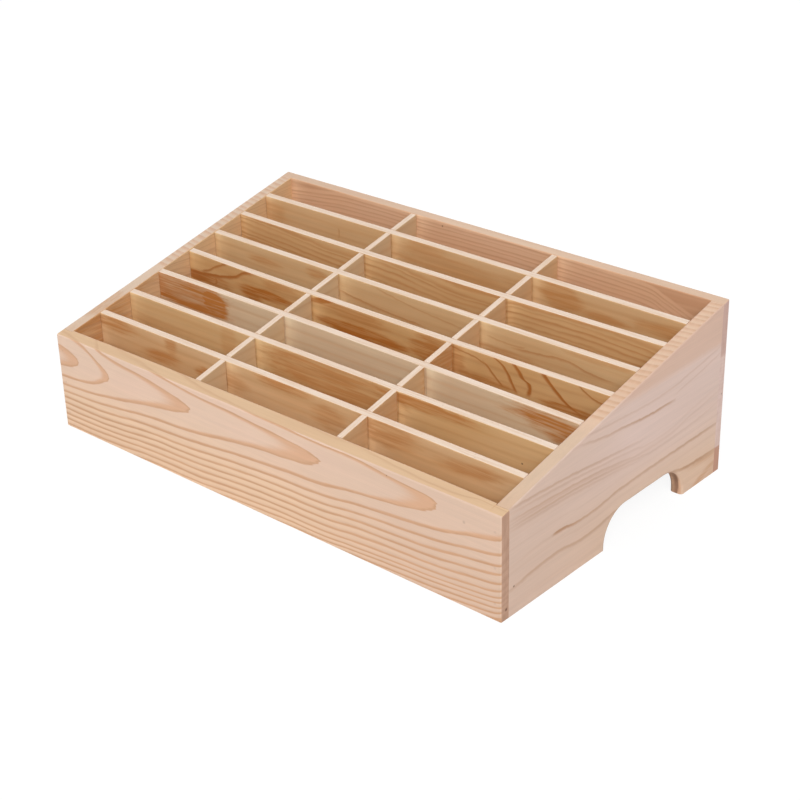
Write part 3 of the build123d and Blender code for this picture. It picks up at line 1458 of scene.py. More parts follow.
@dataclass(frozen=True)
class Speck:
    """A small dark dot on a face, in millimetres, full within the share core of its radius."""

    along: float
    height: float
    radius: float = 0.5
    strength: float = 0.7
    core: float = 0.4

    def share(self, space: BoardSpace) -> Field:
        """How dark the dot is at each point, from 0 to its strength."""
        away = distance(space.along - self.along, space.height - self.height)
        return away.ease(self.radius, self.core * self.radius) * self.strength


@dataclass(frozen=True)
class DustAndShadeSeam:
    """A thin dark upright line where another board butts against this one, in millimetres: partly dust in the
    joint, partly painted shadow of the corner.
    """

    along: float
    half_width: float = 0.5
    half_core: float = 0.15
    strength: float = 0.25

    def share(self, space: BoardSpace) -> Field:
        """How dark the line of dust and painted shadow is at each point, from 0 to its strength."""
        away = space.along.work.math("ABSOLUTE", space.along - self.along)
        return away.ease(self.half_width, self.half_core) * self.strength


@dataclass(frozen=True)
class PineFinish:
    """Planed pine under a thin clear satin coat."""

    name: str
    runs: Runs
    rings: ConeRings | LevelRings
    early: Colour
    late: Colour
    blush: Colour
    heart: Colour = srgb(191, 130, 72)
    warm: Colour = srgb(221, 176, 132)
    dark: Colour = srgb(92, 56, 34)
    ring_depth: float = 0.75
    band: float = 0.45
    even_rings: float = 0.5
    blush_share: float = 0.5
    fibre: float = 0.07
    streaks: float = 0.06
    warmth: float = 0.0
    heart_base: float = 0.45
    heart_streaks: float = 0.65
    zones: tuple[Zone, ...] = ()
    stains: tuple[Stain, ...] = ()
    lines: tuple[RingLine, ...] = ()
    marks: tuple[Speck | DustAndShadeSeam, ...] = ()
    line_shake: float = 1.4
    zone_shake: float = 2.0
    ragged: float = 1.1
    roughness: float = 0.5
    roughness_swing: float = 0.2
    gloss: float = 0.35
    relief: float = 0.05
    shade: float = 1.0
    seed: float = 1.0

    def _ground(self, sheet: Sheet, space: BoardSpace, rings: RingField, shake: Field) -> Socket:
        """The wood under its dark lines: early wood with its blush, zones, warm late wood and heart stains.

        Args:
            sheet: The material's tree.
            space: The board's space.
            rings: The rings.
            shake: How far the drawn lines are shaken, in millimetres.

        Returns:
            The colour's socket.
        """
        colour = sheet.mix(space.noise(BLUSH) * self.blush_share, self.early, self.blush)
        for zone in self.zones:
            colour = sheet.mix(zone.share(space, shake * self.zone_shake), colour, zone.colour)
        if self.warmth:
            colour = sheet.mix(rings.glow() * self.warmth, colour, self.warm)
        if self.stains:
            ragged = space.noise(RAGGED_ENDS).swing(self.ragged)
            stain = self.stains[0].share(space, ragged)
            for other in self.stains[1:]:
                stain = stain.largest(other.share(space, ragged))
            streaks = space.noise(HEART_STREAKS) * self.heart_streaks + self.heart_base
            colour = sheet.mix(stain * streaks, colour, self.heart)
        return colour

    def build(self) -> bpy.types.Material:
        """Makes the material: ring lines, blush, heartwood stains and fine fibre over the early wood.

        A ring darkens slowly over its last share, band, warm first and then dark, and ends more sharply. The
        relief is three fifths of the dark lines' depth and half of the fibre's.

        Returns:
            The material.
        """
        line_relief, fibre_relief = 0.6, 0.5
        sheet = Sheet(self.name)
        space = BoardSpace.of(sheet, self.runs, self.seed)
        rings = self.rings.field(space, self.band)
        shake = space.noise(SHAKE).swing(self.line_shake)
        weight = space.noise(RING_WEIGHT) * (1.0 - self.even_rings) + self.even_rings
        late = rings.late() * weight * self.ring_depth
        for line in self.lines:
            late = late.largest(line.share(space, shake))
        colour = sheet.mix(late, self._ground(sheet, space, rings, shake), self.late)
        # Dark marks: specks and filler, and on the cross dividers joint lines that are partly painted shadow.
        for mark in self.marks:
            colour = sheet.mix(mark.share(space), colour, self.dark)
        fibre = space.noise(FIBRE)
        tone = fibre.swing(2 * self.fibre) + space.noise(STREAKS).swing(2 * self.streaks) + self.shade
        return sheet.finish(
            late * line_relief + fibre * fibre_relief, self.relief, Base_Color=sheet.toned(colour, tone),
            Roughness=fibre.swing(self.roughness_swing) + self.roughness, Specular_IOR_Level=self.gloss,
        )


@dataclass(frozen=True)
class SawnEdge:
    """The pale sawn edge of a thin divider, with short dark pores."""

    name: str
    runs: Runs
    pale: Colour = srgb(240, 219, 201)
    warm: Colour = srgb(232, 204, 180)
    pore: Colour = srgb(170, 132, 104)
    pore_depth: float = 0.5
    roughness: float = 0.65
    gloss: float = 0.25
    relief: float = 0.04
    seed: float = 1.0

    def build(self) -> bpy.types.Material:
        """Makes the material: two pale tones in patches along the edge, and pores.

        Returns:
            The material.
        """
        sheet = Sheet(self.name)
        space = BoardSpace.of(sheet, self.runs, self.seed)
        colour = sheet.mix(space.noise(SAWN_TINT), self.pale, self.warm)
        colour = sheet.mix(space.noise(SAWN_PORES) * self.pore_depth, colour, self.pore)
        fuzz = space.noise(SAWN_FUZZ)
        return sheet.finish(
            fuzz, self.relief, Base_Color=colour, Roughness=self.roughness, Specular_IOR_Level=self.gloss
        )


@dataclass(frozen=True)
class NailSpot:
    """A dark stain round a nail that shows in end grain, at a place across the board and a height."""

    across: float
    height: float
    radius: float
    strength: float = 0.75
    ragged: float = 0.4
    soft: float = 0.5

    def share(self, space: BoardSpace, pores: Field) -> Field:
        """How dark the spot is at each point, from 0 to its strength, its edge made ragged by the pores."""
        away = distance(space.across - self.across, space.height - self.height) + pores * self.ragged
        return away.ease(self.radius * (1 + self.soft), self.radius * (1 - self.soft)) * self.strength


@dataclass(frozen=True)
class EndGrainFinish:
    """Sawn end grain: darker, with rings seen end on and pores instead of fibre."""

    name: str
    runs: Runs
    rings: ConeRings | LevelRings
    early: Colour
    late: Colour
    ring_depth: float = 0.25
    band: float = 0.6
    blotches: float = 0.25
    pore_tone: float = 0.22
    zones: tuple[Zone, ...] = ()
    spots: tuple[NailSpot, ...] = ()
    spot: Colour = srgb(96, 60, 44)
    roughness: float = 0.7
    gloss: float = 0.2
    relief: float = 0.05
    seed: float = 1.0

    def build(self) -> bpy.types.Material:
        """Makes the material: zones, rings and blotches over the early wood, then spots, toned by the pores.

        Returns:
            The material.
        """
        sheet = Sheet(self.name)
        space = BoardSpace.of(sheet, self.runs, self.seed)
        pores = space.noise(END_PORES)
        colour = self.early
        for zone in self.zones:
            colour = sheet.mix(zone.share(space, pores), colour, zone.colour)
        colour = sheet.mix(self.rings.field(space, self.band).glow() * self.ring_depth, colour, self.late)
        colour = sheet.mix(space.noise(END_BLOTCHES) * self.blotches, colour, self.late)
        for spot in self.spots:
            colour = sheet.mix(spot.share(space, pores), colour, self.spot)
        colour = sheet.toned(colour, pores.swing(self.pore_tone) + 1.0)
        return sheet.finish(
            pores, self.relief, Base_Color=colour, Roughness=self.roughness, Specular_IOR_Level=self.gloss
        )


@dataclass(frozen=True)
class DrawnSteel:
    """Bright drawn wire, for the brads."""

    name: str = "drawn_steel"
    colour: Colour = srgb(172, 168, 160)
    smooth: float = 0.25
    scratches: float = 0.3
    relief: float = 0.01
    seed: float = 3.0

    def build(self) -> bpy.types.Material:
        """Makes the material: metal with fine drawing marks in its roughness.

        Returns:
            The material.
        """
        sheet = Sheet(self.name)
        marks = BoardSpace.of(sheet, Runs.FRONT_TO_BACK, self.seed).noise(DRAWING_MARKS)
        roughness = marks * self.scratches + self.smooth
        return sheet.finish(marks, self.relief, Base_Color=self.colour, Metallic=1.0, Roughness=roughness)


@dataclass(frozen=True)
class Lamp:
    """A square soft lamp, its place and its width in metres."""

    name: str
    place: Triple
    width: float
    power: float
    colour: Colour

    def hang(self, aim: Triple) -> None:
        """Adds the lamp to the scene.

        Args:
            aim: What it points at, in metres.
        """
        data = bpy.data.lights.new(self.name, "AREA")
        data.shape = "SQUARE"
        data.size = self.width
        data.energy = self.power
        data.color = self.colour
        lamp = bpy.data.objects.new(self.name, data)
        lamp.location = self.place
        lamp.rotation_mode = "QUATERNION"
        lamp.rotation_quaternion = (Vector(aim) - Vector(self.place)).to_track_quat("-Z", "Y")
        bpy.context.scene.collection.objects.link(lamp)


@dataclass(frozen=True)
class Studio:
    """Camera, lamps, floor and white surround of a plain product picture.

    One large lamp stands in front on the right, a weaker one on the left, and one low behind for the back.
    The camera's place and sensor are in millimetres, the other lengths in metres.
    """

    camera_place: Triple = (674.32, -732.97, 542.61)
    azimuth: float = 41.909
    elevation: float = 27.085
    roll: float = 1.514
    focal_pixels: float = 1745.3
    picture_pixels: float = 800.0
    sensor_width: float = 36.0
    nearest: float = 0.05
    farthest: float = 50.0
    aim: Triple = (0.0, 0.0, 0.05)
    lamps: tuple[Lamp, ...] = (
        Lamp("key", (1.9, -2.0, 2.25), 1.95, 88.0, (1.0, 0.985, 0.96)),
        Lamp("fill", (-1.2, -1.2, 1.2), 1.4, 7.0, (1.0, 0.985, 0.97)),
        Lamp("rear", (-1.4, 2.4, 0.9), 1.6, 22.0, (1.0, 0.985, 0.97)),
    )
    sky: Colour = (0.97, 0.985, 1.0)
    sky_light: float = 0.36
    white: Colour = (1.0, 1.0, 1.0)
    floor_half: float = 20.0
    floor_colour: Colour = (0.8, 0.8, 0.8)
    floor_glow: float = 1.08
    glow_share: float = 0.84

    def camera(self) -> None:
        """Places the camera by its direction: azimuth round the upright, elevation above level, and roll."""
        a, e, r = (math.radians(v) for v in (self.azimuth, self.elevation, self.roll))
        forward = Vector((-math.sin(a) * math.cos(e), math.cos(a) * math.cos(e), -math.sin(e)))
        right = Vector((math.cos(a), math.sin(a), 0.0))
        up = right.cross(forward)
        turn = Matrix.Rotation(r, 3, forward)
        right, up = turn @ right, turn @ up
        data = bpy.data.cameras.new("camera")
        data.sensor_width = self.sensor_width
        data.lens = self.focal_pixels / self.picture_pixels * self.sensor_width
        data.clip_start, data.clip_end = self.nearest, self.farthest
        camera = bpy.data.objects.new("camera", data)
        frame = Matrix((right, up, -forward)).transposed().to_4x4()
        frame.translation = Vector(self.camera_place) * MM
        camera.matrix_world = frame
        bpy.context.scene.collection.objects.link(camera)
        bpy.context.scene.camera = camera

    def surround(self) -> None:
        """A world that lights evenly and is white to the camera and in reflections."""
        world = bpy.data.worlds.new("surround")
        work = NodeWork(world)
        rays = work.node("ShaderNodeLightPath").outputs
        mirrored = work.math("MAXIMUM", rays["Is Glossy Ray"], rays["Is Transmission Ray"])
        seen = work.math("MAXIMUM", rays["Is Camera Ray"], mirrored)
        light = work.shader("ShaderNodeBackground", Color=self.sky, Strength=self.sky_light)
        white = work.shader("ShaderNodeBackground", Color=self.white, Strength=1.0)
        work.show_blend("ShaderNodeOutputWorld", seen, light, white)
        bpy.context.scene.world = world

    def floor(self) -> None:
        """A pale floor whose own light fills it up to white where the camera looks, shadows left faint."""
        half = self.floor_half
        corners = [(-half, -half, 0), (half, -half, 0), (half, half, 0), (-half, half, 0)]
        mesh = bpy.data.meshes.new("floor")
        mesh.from_pydata(corners, [], [(0, 1, 2, 3)])
        floor = bpy.data.objects.new("floor", mesh)
        bpy.context.scene.collection.objects.link(floor)
        material = bpy.data.materials.new("pale_floor")
        work = NodeWork(material)
        matt = work.shader("ShaderNodeBsdfDiffuse", Color=self.floor_colour)
        glow = work.shader("ShaderNodeEmission", Strength=self.floor_glow)
        rays = work.node("ShaderNodeLightPath").outputs
        seen = work.math("MULTIPLY", rays["Is Camera Ray"], self.glow_share)
        work.show_blend("ShaderNodeOutputMaterial", seen, matt, glow)
        mesh.materials.append(material)


@dataclass(frozen=True)
class DividerFigure:
    """What sets one cross divider's figure apart, its heights counted upwards from the top edge."""

    stains: tuple[Stain, ...] = ()
    lines: tuple[RingLine, ...] = ()
    specks: tuple[Speck, ...] = ()
    marks: tuple[float, ...] = (-78.0, -66.0, -53.0, -42.0, -31.0, -22.0, -13.5, -6.0, 3.0)
    drift: Points = ((-176.0, 0.0), (0.0, -1.5), (176.0, 1.0))
    early: Colour = srgb(215, 174, 126)
    blush: Colour = srgb(208, 164, 115)
    heart: Colour = srgb(197, 135, 77)
    line: Colour = srgb(188, 124, 66)
    ring_depth: float = 0.22
    band: float = 0.6
    width: float = 3.0
    wander: float = 0.5


def level_line(soft: float, hard: float, strength: float, *points: tuple[float, float]) -> RingLine:
    """A ring line that runs more level than steep, with the widths of its soft and hard sides."""
    return RingLine(points, soft=soft, hard=hard, strength=strength)


def steep_line(soft: float, hard: float, strength: float, *points: tuple[float, float]) -> RingLine:
    """A ring line that runs more steep than level, with the widths of its soft and hard sides."""
    return replace(level_line(soft, hard, strength, *points), steep=True)


CROSS_FIGURES = (
    DividerFigure(
        stains=(
            Stain(-163, -5, 20, 5, 0.8, soft=1.1),
            Stain(-118, -15, 17, 4.5, 0.85, lean=0.08, soft=1),
            Stain(-108, -5.5, 5, 7, 0.7, soft=1, ragged=0.7),
            Stain(-76, -15.5, 10, 4, 0.9),
            Stain(-8, -3, 22, 3.4, 0.75, soft=1),
            Stain(-52, -14, 12, 6, 0.5, soft=1.1),
            Stain(30, -12, 14, 8, 0.6, soft=1),
            Stain(76, -6, 20, 9, 0.7, soft=1),
            Stain(140, -9, 24, 4, 0.7, lean=0.1, soft=1),
        ),
        early=srgb(223, 183, 138), blush=srgb(218, 174, 125),
    ),
    DividerFigure(
        stains=(
            Stain(-150, -17, 30, 3.5, 0.3),
            Stain(-82, -10, 7, 14, 0.35, ragged=0.4),
            Stain(6, -10, 52, 16, 0.75, soft=0.6),
            Stain(80, -4, 40, 3.6, 1),
        ),
        specks=(Speck(154, -17, 0.8, 0.8),), early=srgb(221, 181, 131), blush=srgb(215, 172, 119),
    ),
    DividerFigure(
        stains=(
            Stain(-152, -10, 43, 17, 0.78, soft=0.2, ragged=0.6),
            Stain(-122, -10, 12, 9, 1.3, lean=-0.2, soft=0.5, ragged=0.8),
            Stain(-150, -16.5, 36, 3.6, 1.05, soft=0.7),
            Stain(-140, -4.5, 22, 2.4, 1),
            Stain(158, -6, 30, 6, 0.9, soft=1),
            Stain(176, -12, 24, 6, 1, soft=1),
        ),
        lines=(
            level_line(1.4, 0.8, 0.45, (-162, -7.5), (-150, -8), (-138, -8.4)),
            level_line(1.6, 0.8, 0.45, (-168, -15), (-145, -15.8), (-120, -16.4)),
        ),
        early=srgb(221, 193, 159), blush=srgb(217, 186, 152), heart=srgb(190, 121, 58),
    ),
    DividerFigure(
        stains=(
            Stain(-160, -16.5, 24, 4.2, 0.85),
            Stain(-100, -12.5, 24, 3.4, 1.1, ragged=0.8),
            Stain(-114, -16.5, 10, 3, 0.9),
            Stain(-84, -5, 16, 6, 0.4),
            Stain(-49, -2.2, 11, 2, 0.9, lean=0.2),
            Stain(-14, -15.5, 36, 4.4, 1.15, ragged=0.7),
            Stain(-20, -5, 26, 6, 0.5),
            Stain(46, -12, 18, 9, 0.75),
            Stain(80, -18.5, 26, 3, 0.7),
            Stain(148, -18.5, 20, 3, 0.8),
            Stain(64, -11, 7, 12, 0.5),
        ),
        lines=(
            level_line(2.2, 1, 0.75, (-163, -11.5), (-156, -9), (-148.5, -4.8), (-137.5, 0)),
            level_line(
                *(3, 1.2, 0.95, (-176, -14.6), (-159, -12.7), (-138.5, -9.4), (-129, -6.6)),
                *((-121, -2.2), (-112, 0)),
            ),
            steep_line(3, 0.4, 0.7, (-152, -18.5), (-148.5, -16), (-150, -13.5)),
            level_line(1.2, 0.9, 0.7, (60, -2.4), (73, -3.6), (87.3, -6.9)),
            steep_line(2.8, 1.3, 0.8, (85, -5.5), (88, -7.5), (93.2, -12.3), (99.5, -17.5)),
            steep_line(3, 1.3, 0.95, (88, 0.5), (96.5, -1.8), (103, -7.3), (107, -14), (110, -18.5)),
            steep_line(3.6, 1.8, 1.1, (106.5, 0.5), (111, -3.2), (114.8, -8.2), (119.4, -10.7), (119, -18)),
            steep_line(4.4, 1.8, 1.1, (129, 0.5), (134, -4.8), (139.8, -9.8), (146.5, -14.8), (156.5, -18.8)),
            level_line(2, 0.4, 0.8, (154, 0.5), (161.5, -4.4), (168, -6.5), (176, -7.5)),
        ),
        early=srgb(214, 169, 117), blush=srgb(207, 158, 103), heart=srgb(180, 110, 46),
        line=srgb(176, 108, 50),
    ),
    DividerFigure(
        stains=(
            Stain(-127, -9.6, 16, 2.6, 0.6, lean=-0.04),
            Stain(-78, -6, 9, 3.4, 0.6),
            Stain(80, -17, 26, 2.6, 0.55),
            Stain(150, -2, 24, 2.4, 0.45),
        ),
        lines=(
            level_line(2.2, 0.4, 0.6, (-56, -11.5), (-44, -13.2), (-19, -15.6), (14, -17)),
            level_line(1.6, 0.4, 0.42, (-25, -1), (-14, -3.2), (14, -7), (46, -9.6)),
            level_line(1.6, 0.4, 0.42, (68, -8.2), (84, -9.4), (96, -8)),
            level_line(2.2, 0.4, 0.6, (88, -11), (108, -9.4), (127, -8), (140, -10.6), (160, -12.2)),
        ),
        early=srgb(219, 180, 133), blush=srgb(212, 170, 122),
    ),
    DividerFigure(
        marks=tuple(-76 + 3.7 * k + 0.9 * (k % 2) - 0.7 * (k % 3) for k in range(22)),
        drift=((-176, 3), (-120, 0), (-70, -2), (-58, 2), (46, -4.5), (70, 1.5), (176, -1.5)),
        early=srgb(215, 171, 121), blush=srgb(209, 162, 111), ring_depth=0.62, band=0.85, width=2.8,
        wander=1.1,
    ),
    DividerFigure(
        stains=(
            Stain(-170, -11, 12, 8, 0.4, ragged=0.5),
            Stain(-26, -5, 18, 5, 0.4, soft=0.7),
            Stain(0, -14, 50, 8, 0.35, soft=0.7),
            Stain(84, -8, 17, 9, 0.7, lean=-0.12, soft=0.6, ragged=0.6),
            Stain(118, -14, 16, 3.5, 0.6),
            Stain(162, -10, 22, 4.5, 0.65),
        ),
        lines=(steep_line(1.6, 0.4, 0.5, (-105.8, -8.5), (-105, -12), (-105.8, -15.5)),),
        early=srgb(218, 176, 129), blush=srgb(211, 166, 116),
    ),
)


@dataclass
class Finishes:
    """Every wooden finish on the rack."""

    sizes: RackSizes
    pale: Colour = srgb(226, 196, 174)
    pink: Colour = srgb(227, 193, 173)
    tan: Colour = srgb(232, 199, 169)
    line: Colour = srgb(190, 144, 108)
    # How much paler a cross divider's early wood is painted beside each left wall, as painted bounce light.
    painted_bounce_lift: Triple = (1.22, 1.31, 1.38)
    plug_spread: float = 1.2
    # How far from each left wall the joint line of dust and painted shadow runs.
    joint_shade_gap: float = 0.3

    def plugs(self, corner: str, count: int, strength: float) -> tuple[Speck, ...]:
        """Marks of the filler over the brads at both ends of a board.

        Args:
            corner: "front" or "rear".
            count: Brads in each corner, evenly spaced.
            strength: How dark the filler is.

        Returns:
            The marks.
        """
        marks = []
        for side in ("left", "right"):
            low, high = box_mm(f"{corner}_{side}_brads")
            place, radius = (low[0] + high[0]) / 2, (high[0] - low[0]) / 2
            heights = np.linspace(low[2] + radius, high[2] - radius, count)
            marks += [Speck(place, float(height), self.plug_spread * radius, strength) for height in heights]
        return tuple(marks)

    def painted_bounce_walls(self) -> Points:
        """A curve along the rack: 1 beside each compartment's left wall, fading to 0 over some 20 mm, where a
        paler colour is painted as bounce light from the lit wall.

        Returns:
            The curve's points.
        """
        s = self.sizes
        walls = [-s.inner_half_width] + [place + s.divider_thickness / 2 for place in s.long_places]
        fade = ((-0.6, 0), (0, 0.3), (3, 1), (6, 0.75), (10, 0.38), (14, 0.15), (20, 0))
        return tuple((wall + away, share) for wall in walls for away, share in fade)

    def front_rings(self) -> ConeRings:
        """Rings of the front board: arches that point to the right, one inside the next.

        Returns:
            The rings.
        """
        return ConeRings(
            marks=(
                23.4, 26.7, 30.6, 34.4, 38, 41.5, 44.8, 48.2, 51.6, 55.3, 58.7, 61.6, 64.1, 66.9, 69.7, 72.5,
            ),
            pith_height=(
                (-185, 52), (-160, 51.6), (-136, 50.8), (-100, 52.3), (-62, 52.4), (-20, 54.2), (20, 55.1),
                (48, 55.2), (80, 57.1), (110, 57.7), (140, 58.6), (152, 59.3), (165, 60), (185, 63.3),
            ),
            pith_depth=(
                (-185, 22.5), (-165, 23.4), (-136, 26.6), (-100, 28.9), (-60, 30.55), (-20, 32.3), (20, 33.6),
                (48, 34.3), (80, 35.6), (110, 36.9), (140, 38), (152, 38.75), (165, 39.65), (185, 40.2),
            ),
            stretch=(
                (-185, 0.76), (-163, 0.8), (-140, 1), (-110, 1.07), (0, 1.44), (90, 1.51), (142, 1.5),
                (168, 0.6), (185, 0.5),
            ),
            nose=((-185, 1), (-30, 1), (10, 0.86), (30, 0.76), (118, 0.74), (140, 0.8), (160, 1)),
            face=self.sizes.front_face,
        )

    def front(self) -> Materials:
        """Finishes of the front board.

        Returns:
            Materials for face, edge and end grain.
        """
        rings = self.front_rings()
        face = PineFinish(
            "front_pine", Runs.SIDE_TO_SIDE, rings, self.pale, self.line, self.pink, ring_depth=0.56,
            band=0.28, warmth=0.75, warm=srgb(214, 164, 126),
            zones=(
                Zone(self.tan, ((24, 1), (38, 0.35), (46, 0.1), (50, 0))),
                # The right end darker and tanner: partly the wood's tone, partly painted shade for light
                # falling off towards the right.
                Zone(srgb(218, 188, 167), by_place=((20, 0), (80, 0.45), (130, 0.8), (185, 0.9))),
            ),
            marks=(
                *self.plugs("front", self.sizes.front_brads, 0.1),
                Speck(103.6, 63.6, 0.6, 0.5), Speck(159.1, 54.4, 1.3, 0.2),
            ),
            seed=1,
        )
        edge = PineFinish(
            "front_edge_pine", Runs.SIDE_TO_SIDE, rings, srgb(221, 186, 149), self.line,
            srgb(218, 181, 144), ring_depth=0.35, band=0.28, seed=1.5,
        )
        end = EndGrainFinish(
            "front_end_grain", Runs.SIDE_TO_SIDE, rings, srgb(195, 158, 136), srgb(168, 128, 106),
            spots=(NailSpot(self.sizes.front_face + 4.3, 6.8, 1.1),),
        )
        return face.build(), edge.build(), end.build()

    def back_rings(self) -> LevelRings:
        """Rings of the back board, wide apart low down and close at the top.

        Returns:
            The rings.
        """
        close = (2 + 2.9 * k + 0.6 * (k % 2) for k in range(27, 40))
        low = ((-185, 9), (-110, 2), (-30, -5), (60, -1), (120, 5), (185, 3))
        high = (
            (-176, -6), (-150, -3), (-120, 0), (-60, 0.5), (40, 1.5), (108, 0.5), (127, -0.5), (143, -5),
            (155, -9.5), (176, -17),
        )
        return LevelRings(
            marks=(5, 17, 28, 37, 45, 52, 58.5, 64, 69, 73.5, 77.5, *close),
            drifts=((20, low), (82, high)), face=self.sizes.back_inner, width=1.8,
        )

    def back(self) -> Materials:
        """Finishes of the back board, whose inner face has painted bounce light, paler beside the
        compartments' left walls.

        Returns:
            Materials for face, edge and end grain.
        """
        rings = self.back_rings()
        inner, outer = self.sizes.back_inner, self.sizes.back_face
        face = PineFinish(
            "back_pine", Runs.SIDE_TO_SIDE, rings, srgb(223, 179, 145), srgb(186, 131, 94),
            srgb(219, 172, 134), ring_depth=0.5, band=0.7, streaks=0.05,
            zones=(
                # Painted bounce light: the inner face made paler beside each compartment's left wall.
                Zone(srgb(242, 202, 166), NO_CHANGE, self.painted_bounce_walls(), ((inner, 0.9), (inner + 1, 0))),
                Zone(srgb(229, 200, 176), by_depth=((outer - 1, 0), (outer, 0.9))),
            ),
            marks=(*self.plugs("rear", self.sizes.rear_brads, 0.22), Speck(-34, 112.5, 0.9, 0.6)),
            seed=2,
        )
        edge = PineFinish(
            "back_edge_pine", Runs.SIDE_TO_SIDE, rings, srgb(222, 192, 166), self.line, srgb(223, 187, 161),
            ring_depth=0.2, seed=2.5,
        )
        end = EndGrainFinish(
            "back_end_grain", Runs.SIDE_TO_SIDE, rings, srgb(226, 200, 191), srgb(190, 148, 130),
            ring_depth=0.1,
            zones=(
                Zone(srgb(198, 153, 132), ((17.8, 1), (19, 0))),
                Zone(srgb(207, 175, 165), ((80, 0), (82, 1))),
            ),
            spots=(NailSpot(outer - 2.6, 54, 0.6),),
        )
        return face.build(), edge.build(), end.build()

    def side_rings(self, sign: int) -> LevelRings:
        """Rings of a side board, wide apart below and fine and close at the top.

        Args:
            sign: -1 for the left board, +1 for the right one.

        Returns:
            The rings.
        """
        fine = tuple(87.6 + 0.98 * k + 0.14 * (k % 3) for k in range(30))
        return LevelRings(
            marks=(5, 27, 42, 50, 58, *fine),
            drifts=(
                (34, ((-110, -1.5), (-60, 1.2), (-36, -1), (-10, 0.8), (20, 1.8), (110, 0.5))),
                (57, ((-110, 0.3), (-60, -0.9), (-36, -2.4), (0, -6), (40, -10.8), (110, -3))),
                (76, ((-110, 2), (-36, 0.4), (12, -6), (45, -8.4), (110, -5))),
                (92, ((-110, 0), (0, 1), (50, 3), (110, 4))),
            ),
            face=sign * self.sizes.half_width, tilt=-0.02 * sign, width=0.7,
        )

    def side_lines(self) -> tuple[RingLine, ...]:
        """The drawn ring lines of a side board: strong ones low down and under the top, and a close group.

        Returns:
            The lines.
        """
        group = (
            ((-104, 54.9), (-60, 53.6), (-30, 51.4), (0, 48.4), (22, 45.6)),
            ((-104, 57), (-60, 55.8), (-36, 54.3), (0, 50.5), (24, 47.3), (36, 46.2), (104, 51)),
            ((-104, 59.2), (-60, 57.8), (-30, 55.9), (0, 51.9), (30, 48.4)),
            ((-104, 61.3), (-36, 57.5), (0, 53), (36, 49.3), (72, 53.3), (104, 58)),
            ((-104, 65.9), (-60, 63.3), (-24, 59.7), (12, 55.7), (36, 52.5), (72, 57), (104, 62)),
            ((-104, 69), (-60, 66.6), (-20, 62.6), (20, 58.6)),
        )
        fading = ((-104, 0.7), (-40, 1), (-8, 0.8), (30, 0.45), (104, 0.35))
        faint, strong = 0.3, 0.46
        close = tuple(
            RingLine(points, soft=2.1, hard=0.9, strength=strong if number % 2 else faint, weights=fading)
            for number, points in enumerate(group)
        )
        lowest = RingLine(
            (
                (-104, 17.6), (-96, 18.5), (-72, 21.3), (-60, 21.7), (-36, 19.2), (-12, 21.2), (10, 22.4),
                (50, 22), (72, 18.8), (104, 17.5),
            ),
            soft=2.9, hard=1.1, strength=0.62,
            weights=((-104, 0.8), (60, 0.85), (72, 1.3), (104, 1.2)),
        )
        low = RingLine(
            (
                (-104, 32), (-96, 32.5), (-60, 34.8), (-48, 33.5), (-36, 32.5), (-12, 34), (0, 35.2),
                (36, 35.8), (104, 35.7),
            ),
            soft=2.5, hard=0.9, strength=0.8,
            weights=((-104, 0.15), (-66, 0.2), (-60, 1.15), (-46, 1), (-30, 0.7), (104, 0.85)),
        )
        under_top = RingLine(
            (
                (-40, 81), (-24, 77.8), (-12, 76), (0, 75), (12, 73.8), (24, 72.5), (36, 72), (56, 71.5),
            ),
            soft=2.1, hard=0.8, strength=0.72,
            weights=((-40, 0.4), (0, 0.7), (30, 1), (48, 0.9), (56, 0)),
        )
        highest = level_line(1.6, 0.9, 0.25, (-36, 84.5), (0, 81.5), (36, 79.8), (72, 83.3), (104, 88.5))
        rear = level_line(1.4, 0.8, 0.22, (56, 75), (80, 79), (104, 84))
        return lowest, low, under_top, highest, rear, *close

    def side_face(self, name: str, sign: int) -> PineFinish:
        """Finish of a side board's faces.

        The left board shows reddish stains and closer rings, warmer on its inner face. The right board has
        small stains at its rear foot.

        Args:
            name: The material's name.
            sign: -1 for the left board, +1 for the right one.

        Returns:
            The finish.
        """
        half, inner = self.sizes.half_width, self.sizes.inner_half_width
        zones = (
            Zone(srgb(224, 192, 167), ((16, 1), (22, 0.85), (34, 0.55), (46, 0.2), (62, 0))),
            Zone(srgb(215, 187, 170), ((0, 1), (110, 1)), ((-104, 0.9), (-60, 0.75), (10, 0))),
            Zone(srgb(219, 184, 164), ((87, 0), (91.5, 0.9)), ((-20, 0), (10, 1))),
        )
        right = PineFinish(
            name, Runs.FRONT_TO_BACK, self.side_rings(sign), srgb(222, 195, 183), srgb(184, 138, 104),
            srgb(226, 200, 190), ring_depth=0.1, zones=zones,
            stains=(
                Stain(92, 4.4, 15, 2.6, 0.42, lean=0.39, soft=1.2, ragged=0.5),
                Stain(104, 5, 10, 8, 0.3, soft=1.4, ragged=0.6),
                Stain(96, 15.5, 18, 2.4, 0.35, soft=1.2, ragged=0.5),
            ),
            lines=self.side_lines(), marks=(Speck(-99, 18.5, 0.9),), seed=3 + sign,
        )
        if sign > 0:
            return right
        closer = tuple(47 + 1.9 * k + 0.5 * (k % 3) for k in range(37))
        return replace(
            right, rings=replace(right.rings, marks=(5, 27, 42, *closer)), ring_depth=0.4,
            zones=(*zones, Zone(srgb(223, 184, 136), by_depth=((-half + 0.5, 0), (-inner - 0.5, 0.85)))),
            stains=(
                Stain(-101, 62, 46, 26, 0.75, lean=0.2, soft=0.6, ragged=0.6),
                Stain(-62, 78, 30, 9, 0.6, lean=0.22, soft=0.6),
            ),
        )

